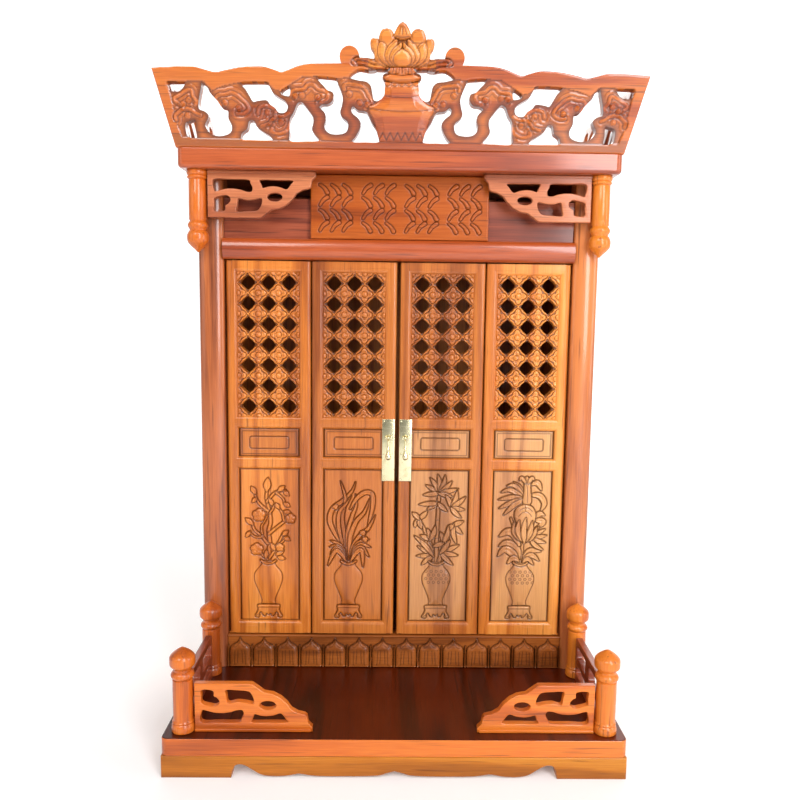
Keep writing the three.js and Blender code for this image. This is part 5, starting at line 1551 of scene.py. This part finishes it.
# %% Lay on the vase and the lotus
crest.figure(both_sides(smooth_line(crest_vase[1:-1], 3, closed=False)), 3.6, soft=17, groove=1.2, depth=0.8)
for line, width in (([(-35, 41.3), (-18, 39.2), (0, 38.6), (18, 39.2), (35, 41.3)], 1.6),
                    ([(-19, 54), (-9, 52.6), (0, 52.2), (9, 52.6), (19, 54)], 1.3)):
    groove(crest, smooth_line(line, 4, closed=False), width, 0.7)
zigzag = [(-24.5 + 4.1 * i, 17.4 if i % 2 else 10.0) for i in range(13)]
groove(crest, zigzag, 1.9, 1.0)
scallops = [(-19 + 1.9 * i, 65.4 - 2.4 * abs(math.sin(i * math.pi / 4))) for i in range(21)]
groove(crest, scallops, 1.7, 0.9)
crest.figure(both_sides(vase_foot_dish), 3.4, soft=4)
crest.figure(both_sides(lotus_stalk), 2.6, soft=4)
for i in range(-3, 4):
    groove(crest, [(i * 3.4, 76), (i * 3.1, 82)], 1.2, 0.9)
for side in (-1, 1):
    crest.figure(on_side(smooth_line(flower_arm, 3), side), 0.4, soft=3)
    for line in arm_ridges:
        ridge(on_side(line, side), 2.6, 1.0)
core = crest.inside(both_sides(lotus_core))
crest.height = np.where(core, -1.0, crest.height)
# The sunk heart of the lotus is darkened: painted shade.
crest.hollow = np.where(core, 0.7, crest.hollow)
for points, lift in lotus_petals:
    for side in (-1, 1):
        gap = crest.gap_to(on_side(smooth_line(points, 4), side))
        crest.lay(gap, lift - 1.4 + 1.6 * half_round(fade(-gap, 3.4)), groove=1.3, depth=1.1)
        inner_line = fade(np.abs(gap + 2.0), 0.6)
        crest.height -= 0.45 * inner_line
        # The petals' inner lines are darkened: partly stain, partly painted shade.
        crest.hollow = np.maximum(crest.hollow, 0.7 * inner_line)
for half, lift, soft in ((lotus_bulb, 3.4, 6.5), (lotus_bud, 2.6, 5)):
    gap = crest.gap_to(both_sides(smooth_line(half, 3, closed=False)))
    crest.lay(gap, lift - 1.2 + 2.0 * half_round(fade(-gap, soft)), groove=1.3, depth=1.1)
groove(crest, [(-7, 110.8), (-3.6, 110), (0, 109.8), (3.6, 110), (7, 110.8)], 1.4, 0.9)
for x in (-4, 0, 4):
    groove(crest, [(x, 112), (x * 0.5, 119)], 1.2, 0.6)
print("highest point of the lotus:", round(float(crest.height.max()), 1), "mm")

# %% Cut the crest out and lean it
crest_foot, crest_face = crest_low[2], crest_high[1] - crest_thick
form = crest.mesh(crest_face, crest_face + crest_thick, silhouette, holes)
for vert in form.verts:
    vert.co.y -= crest_lean * vert.co.z / crest_tall
    vert.co.z += crest_foot


def on_flower(face):
    return face.center.z > (crest_foot + 82.3) * MM and abs(face.center.x) < 36 * MM


piece("crest_carved_board", form, finish_for(ember, "X", True), "crest_front", flat=False, crease=65,
      second=(finish_for(amber, "X", True), on_flower))

# %% [markdown]
# ## The lotus rail and the name board
# The rail under the doors is a row of standing lotus petals, each with a pointed tip, sloping shoulders
# and a second petal inside it; a thin bar parts it from the next. The board between the brackets has four
# groups of plain chisel strokes. Both are cut the same way: outlined with a V tool, then rounded inside
# the line, so the carving's own figures and stems draw them.

# %% The rail of petals
low, high = place_of("lotus_rail")
rail_tall = high[2] - low[2]
petal_count = 14
petal_pitch = (high[0] - low[0]) / petal_count
rail_carving = Carving((low[0], high[0]), (0, rail_tall), step=0.72)
half_petal = [(0, 36.6), (1.3, 33.4), (3.6, 30.4), (7.6, 28.2), (11, 25.4), (12.6, 21), (12.9, 12),
              (12.7, 0.6)]
petal_line = both_sides(smooth_line(half_petal, 3, closed=False))
tip_line = [(0, 34.6), (1.7, 31.6), (4.4, 28.4), (6.2, 26.8)]
for i in range(petal_count + 1):
    x = low[0] + i * petal_pitch
    rail_carving.stem([(x, 1.5), (x, 23), (x, 27)], 2.6, 1.4, height=3.2, groove=1.0, depth=0.9)
for i in range(petal_count):
    x = low[0] + (i + 0.5) * petal_pitch
    rail_carving.figure([(x + u, v) for u, v in petal_line], 3.6, soft=6.5, groove=1.3, depth=1.1)
    for side in (-1, 1):
        far = rail_carving.measure([(x + side * u, v) for u, v in tip_line], 3)[0]
        rail_carving.height += 0.8 * half_round(far)
        # The lines round the petals' tips are darkened: partly stain, partly painted shade.
        rail_carving.hollow = np.maximum(rail_carving.hollow, 0.7 * fade(np.abs(far - 1.5), 0.6))
        for across, foot_level, head_level in ((3.2, 5, 22), (6.8, 3, 21)):
            figure_line = [(x + side * across, foot_level), (x + side * (across - 0.8), head_level)]
            groove(rail_carving, figure_line, 1.2, 0.45)
rail_carving.height += 1.4 * fade(np.abs(rail_carving.z - 1.2), 1.4)
rail_carving.height += 0.8 * fade(np.abs(rail_carving.z - rail_tall + 1), 1.2)
form = rail_carving.mesh(low[1] + 4.6, high[1])
move(form, z=low[2])
piece("lotus_petal_rail", form, finish_for(brown, "X", True), "lotus_rail", flat=False, crease=60)

# %% The name board
group_pitch, stroke_pitch_x, stroke_pitch_z = 49.5, 13.4, 14.2
low, high = place_of("plaque")
name_board = Carving((low[0], high[0]), (low[2], high[2]), step=0.66)
middle_z = (low[2] + high[2]) / 2 - 1
for group in range(4):
    middle_x = (low[0] + high[0]) / 2 + (group - 1.5) * group_pitch
    for row in range(4):
        for column in range(3):
            lean = 1 if (row + group) % 2 else -1
            x, z = middle_x + (column - 1) * stroke_pitch_x, middle_z + (1.5 - row) * stroke_pitch_z
            line = [(x - 4.2, z - lean * 4.6), (x - lean * 0.8, z + 0.8), (x + 4.2, z + lean * 4.6)]
            name_board.stem(line, 2.6, 4.4, height=0.7, groove=1.4, depth=1.0)
name_board.height -= 0.7 * fade(name_board.rim_gap(), 1.2) ** 2
form = name_board.mesh(low[1] + 0.7, high[1])
piece("name_board", form, finish_for(chestnut, "X", True), "plaque", flat=False)

# %% [markdown]
# ## The brass
# Two long thin plates guard the edges where the doors meet. Each is held by brass pins and carries a
# staple with a drop pull that swings on its pin. On the back, hinges join the leaves in pairs. Sheet
# brass is cut, its edges are dressed round, and the drop is turned on a lathe, so a spun outline makes
# it.

# %% Door plates, staples and drops
def pin_head(radius=1.0, proud=0.55):
    """A low domed head on a face that looks to the front."""
    dome = [(0.001, proud), (radius * 0.6, proud * 0.8), (radius, 0.0), (0.001, -0.3)]
    return turn(turned(dome, 0, 0, 0, 14), math.pi / 2, "X")


def door_plate(side):
    node = f"{side}_brass_plate"
    low, high = place_of(node)
    form = board_of(node, 0.35)
    for x in (low[0] + 2.2, high[0] - 2.2):
        for z in (low[2] + 2.4, (low[2] + high[2]) / 2 - 4, high[2] - 2.4):
            add_form(form, move(pin_head(), x, low[1], z))
    piece(f"{side}_door_plate", form, brass, node, flat=False, crease=40)


def pull_pin(side):
    """The middle of the pin that a drop hangs on."""
    plate_low, plate_high = place_of(f"{side}_brass_plate")
    low, high = place_of(f"{side}_pull_staple")
    return (plate_low[0] + plate_high[0]) / 2, low[1] + 1.9, (low[2] + high[2]) / 2


def staple(side):
    node = f"{side}_pull_staple"
    low, high = place_of(node)
    pin_spot = pull_pin(side)
    form = bmesh.new()
    for cheek in (-1, 1):
        x = sorted((pin_spot[0] + cheek * 4.0, pin_spot[0] + cheek * 2.3))
        add_form(form, board(x, (low[1], high[1]), (low[2], high[2]), 0.6, 4))
    pin = turn(turned([(0.001, -3.9), (0.9, -3.9), (0.9, 3.9), (0.001, 3.9)], 0, 0, 0, 20), math.pi / 2, "Y")
    piece(f"{side}_staple", add_form(form, move(pin, *pin_spot)), brass, node, flat=False, crease=40)


def drop(side):
    node = f"{side}_drop_pull"
    x, y, z = pull_pin(side)
    drop_line = [(0.001, 0), (1.5, 0.25), (2.7, 1.2), (3.3, 2.8), (3.35, 4.4), (2.9, 6.2), (2.0, 8.2),
                 (1.5, 10.4), (1.3, 12.2), (2.0, 13.0), (2.0, 13.8), (1.25, 14.6), (1.0, 18),
                 (0.95, 22.4), (1.3, 23.6), (0.001, 24.4)]
    form = turned(drop_line, x, y, place_of(node)[0][2], 28)
    eye = bmesh.new()
    bmesh.ops.create_circle(eye, cap_ends=False, radius=0.85, segments=12)
    move(turn(eye, math.pi / 2, "X"), 2.1)
    bmesh.ops.spin(eye, geom=eye.edges[:], angle=math.tau, steps=24, axis=(0, 0, 1), cent=(0, 0, 0),
                   use_merge=True)
    turn(eye, math.pi / 2, "Y")
    bmesh.ops.recalc_face_normals(eye, faces=eye.faces)
    piece(f"{side}_drop", add_form(form, move(eye, x, y, z)), brass, node, flat=False, crease=50)


# %% Hinges and pivot pins
leaf_gap = (place_of("right_inner_leaf")[1][0], place_of("right_outer_leaf")[0][0])
fold_line = sum(leaf_gap) / 2
sheet = 1.2
knuckles = {"outer": [(10.2, 19.8)], "inner": [(0, 9.8), (20.2, 30)]}
screws = ((0.3, 5), (0.75, 15), (0.3, 25))


def rod_line(radius, start, end, eased):
    """The section of a round rod with eased ends."""
    return [(0.001, start), (radius - eased, start), (radius, start + eased), (radius, end - eased),
            (radius - eased, end), (0.001, end)]


def hinge(side, sign, level, place):
    """A sheet with its knuckles on the fold line, and screws from behind."""
    node = f"{side}_{level}_hinge_{place}"
    low, high = place_of(node)
    way = sign if place == "outer" else -sign
    far_x = max((low[0], high[0]), key=lambda x: x * way)
    fold_x = sign * fold_line
    plate_x = sorted((fold_x + way * 1.9, far_x))
    form = board(plate_x, (low[1], low[1] + sheet), (low[2], high[2]), 0.3, 2)
    knuckle_y = high[1] - 1.65
    for z0, z1 in knuckles[place]:
        add_form(form, turned(rod_line(1.6, z0, z1, 0.2), fold_x, knuckle_y, low[2], 20))
        web_x = sorted((fold_x, fold_x + way * 2.4))
        add_form(form, board(web_x, (low[1] + 0.15, knuckle_y), (low[2] + z0, low[2] + z1), 0.2, 1))
    for share, z in screws:
        spot_x = plate_x[0] + 2.6 + share * (plate_x[1] - plate_x[0] - 4.4)
        screw = turn(pin_head(1.7, 0.45), math.pi, "Z")
        add_form(form, move(screw, spot_x, low[1] + sheet, low[2] + z))
    piece(f"{side}_{level}_{place}_hinge", form, brass, node, flat=False, crease=40)


def pivot(side, end):
    node = f"{side}_{end}_pivot_pin"
    low, high = place_of(node)
    line = rod_line((high[0] - low[0]) / 2 - 0.05, 0, high[2] - low[2], 0.5)
    # The pins take the dark brass: painted shade for the narrow gap they sit in.
    piece(f"{side}_{end}_pivot", turned(line, *foot_of(node), 24), shade_dark_brass, node, flat=False, crease=40)


for side, sign in (("left", -1), ("right", 1)):
    door_plate(side)
    staple(side)
    drop(side)
    for level in ("lower", "upper"):
        for place in ("outer", "inner"):
            hinge(side, sign, level, place)
    for end in ("bottom", "top"):
        pivot(side, end)
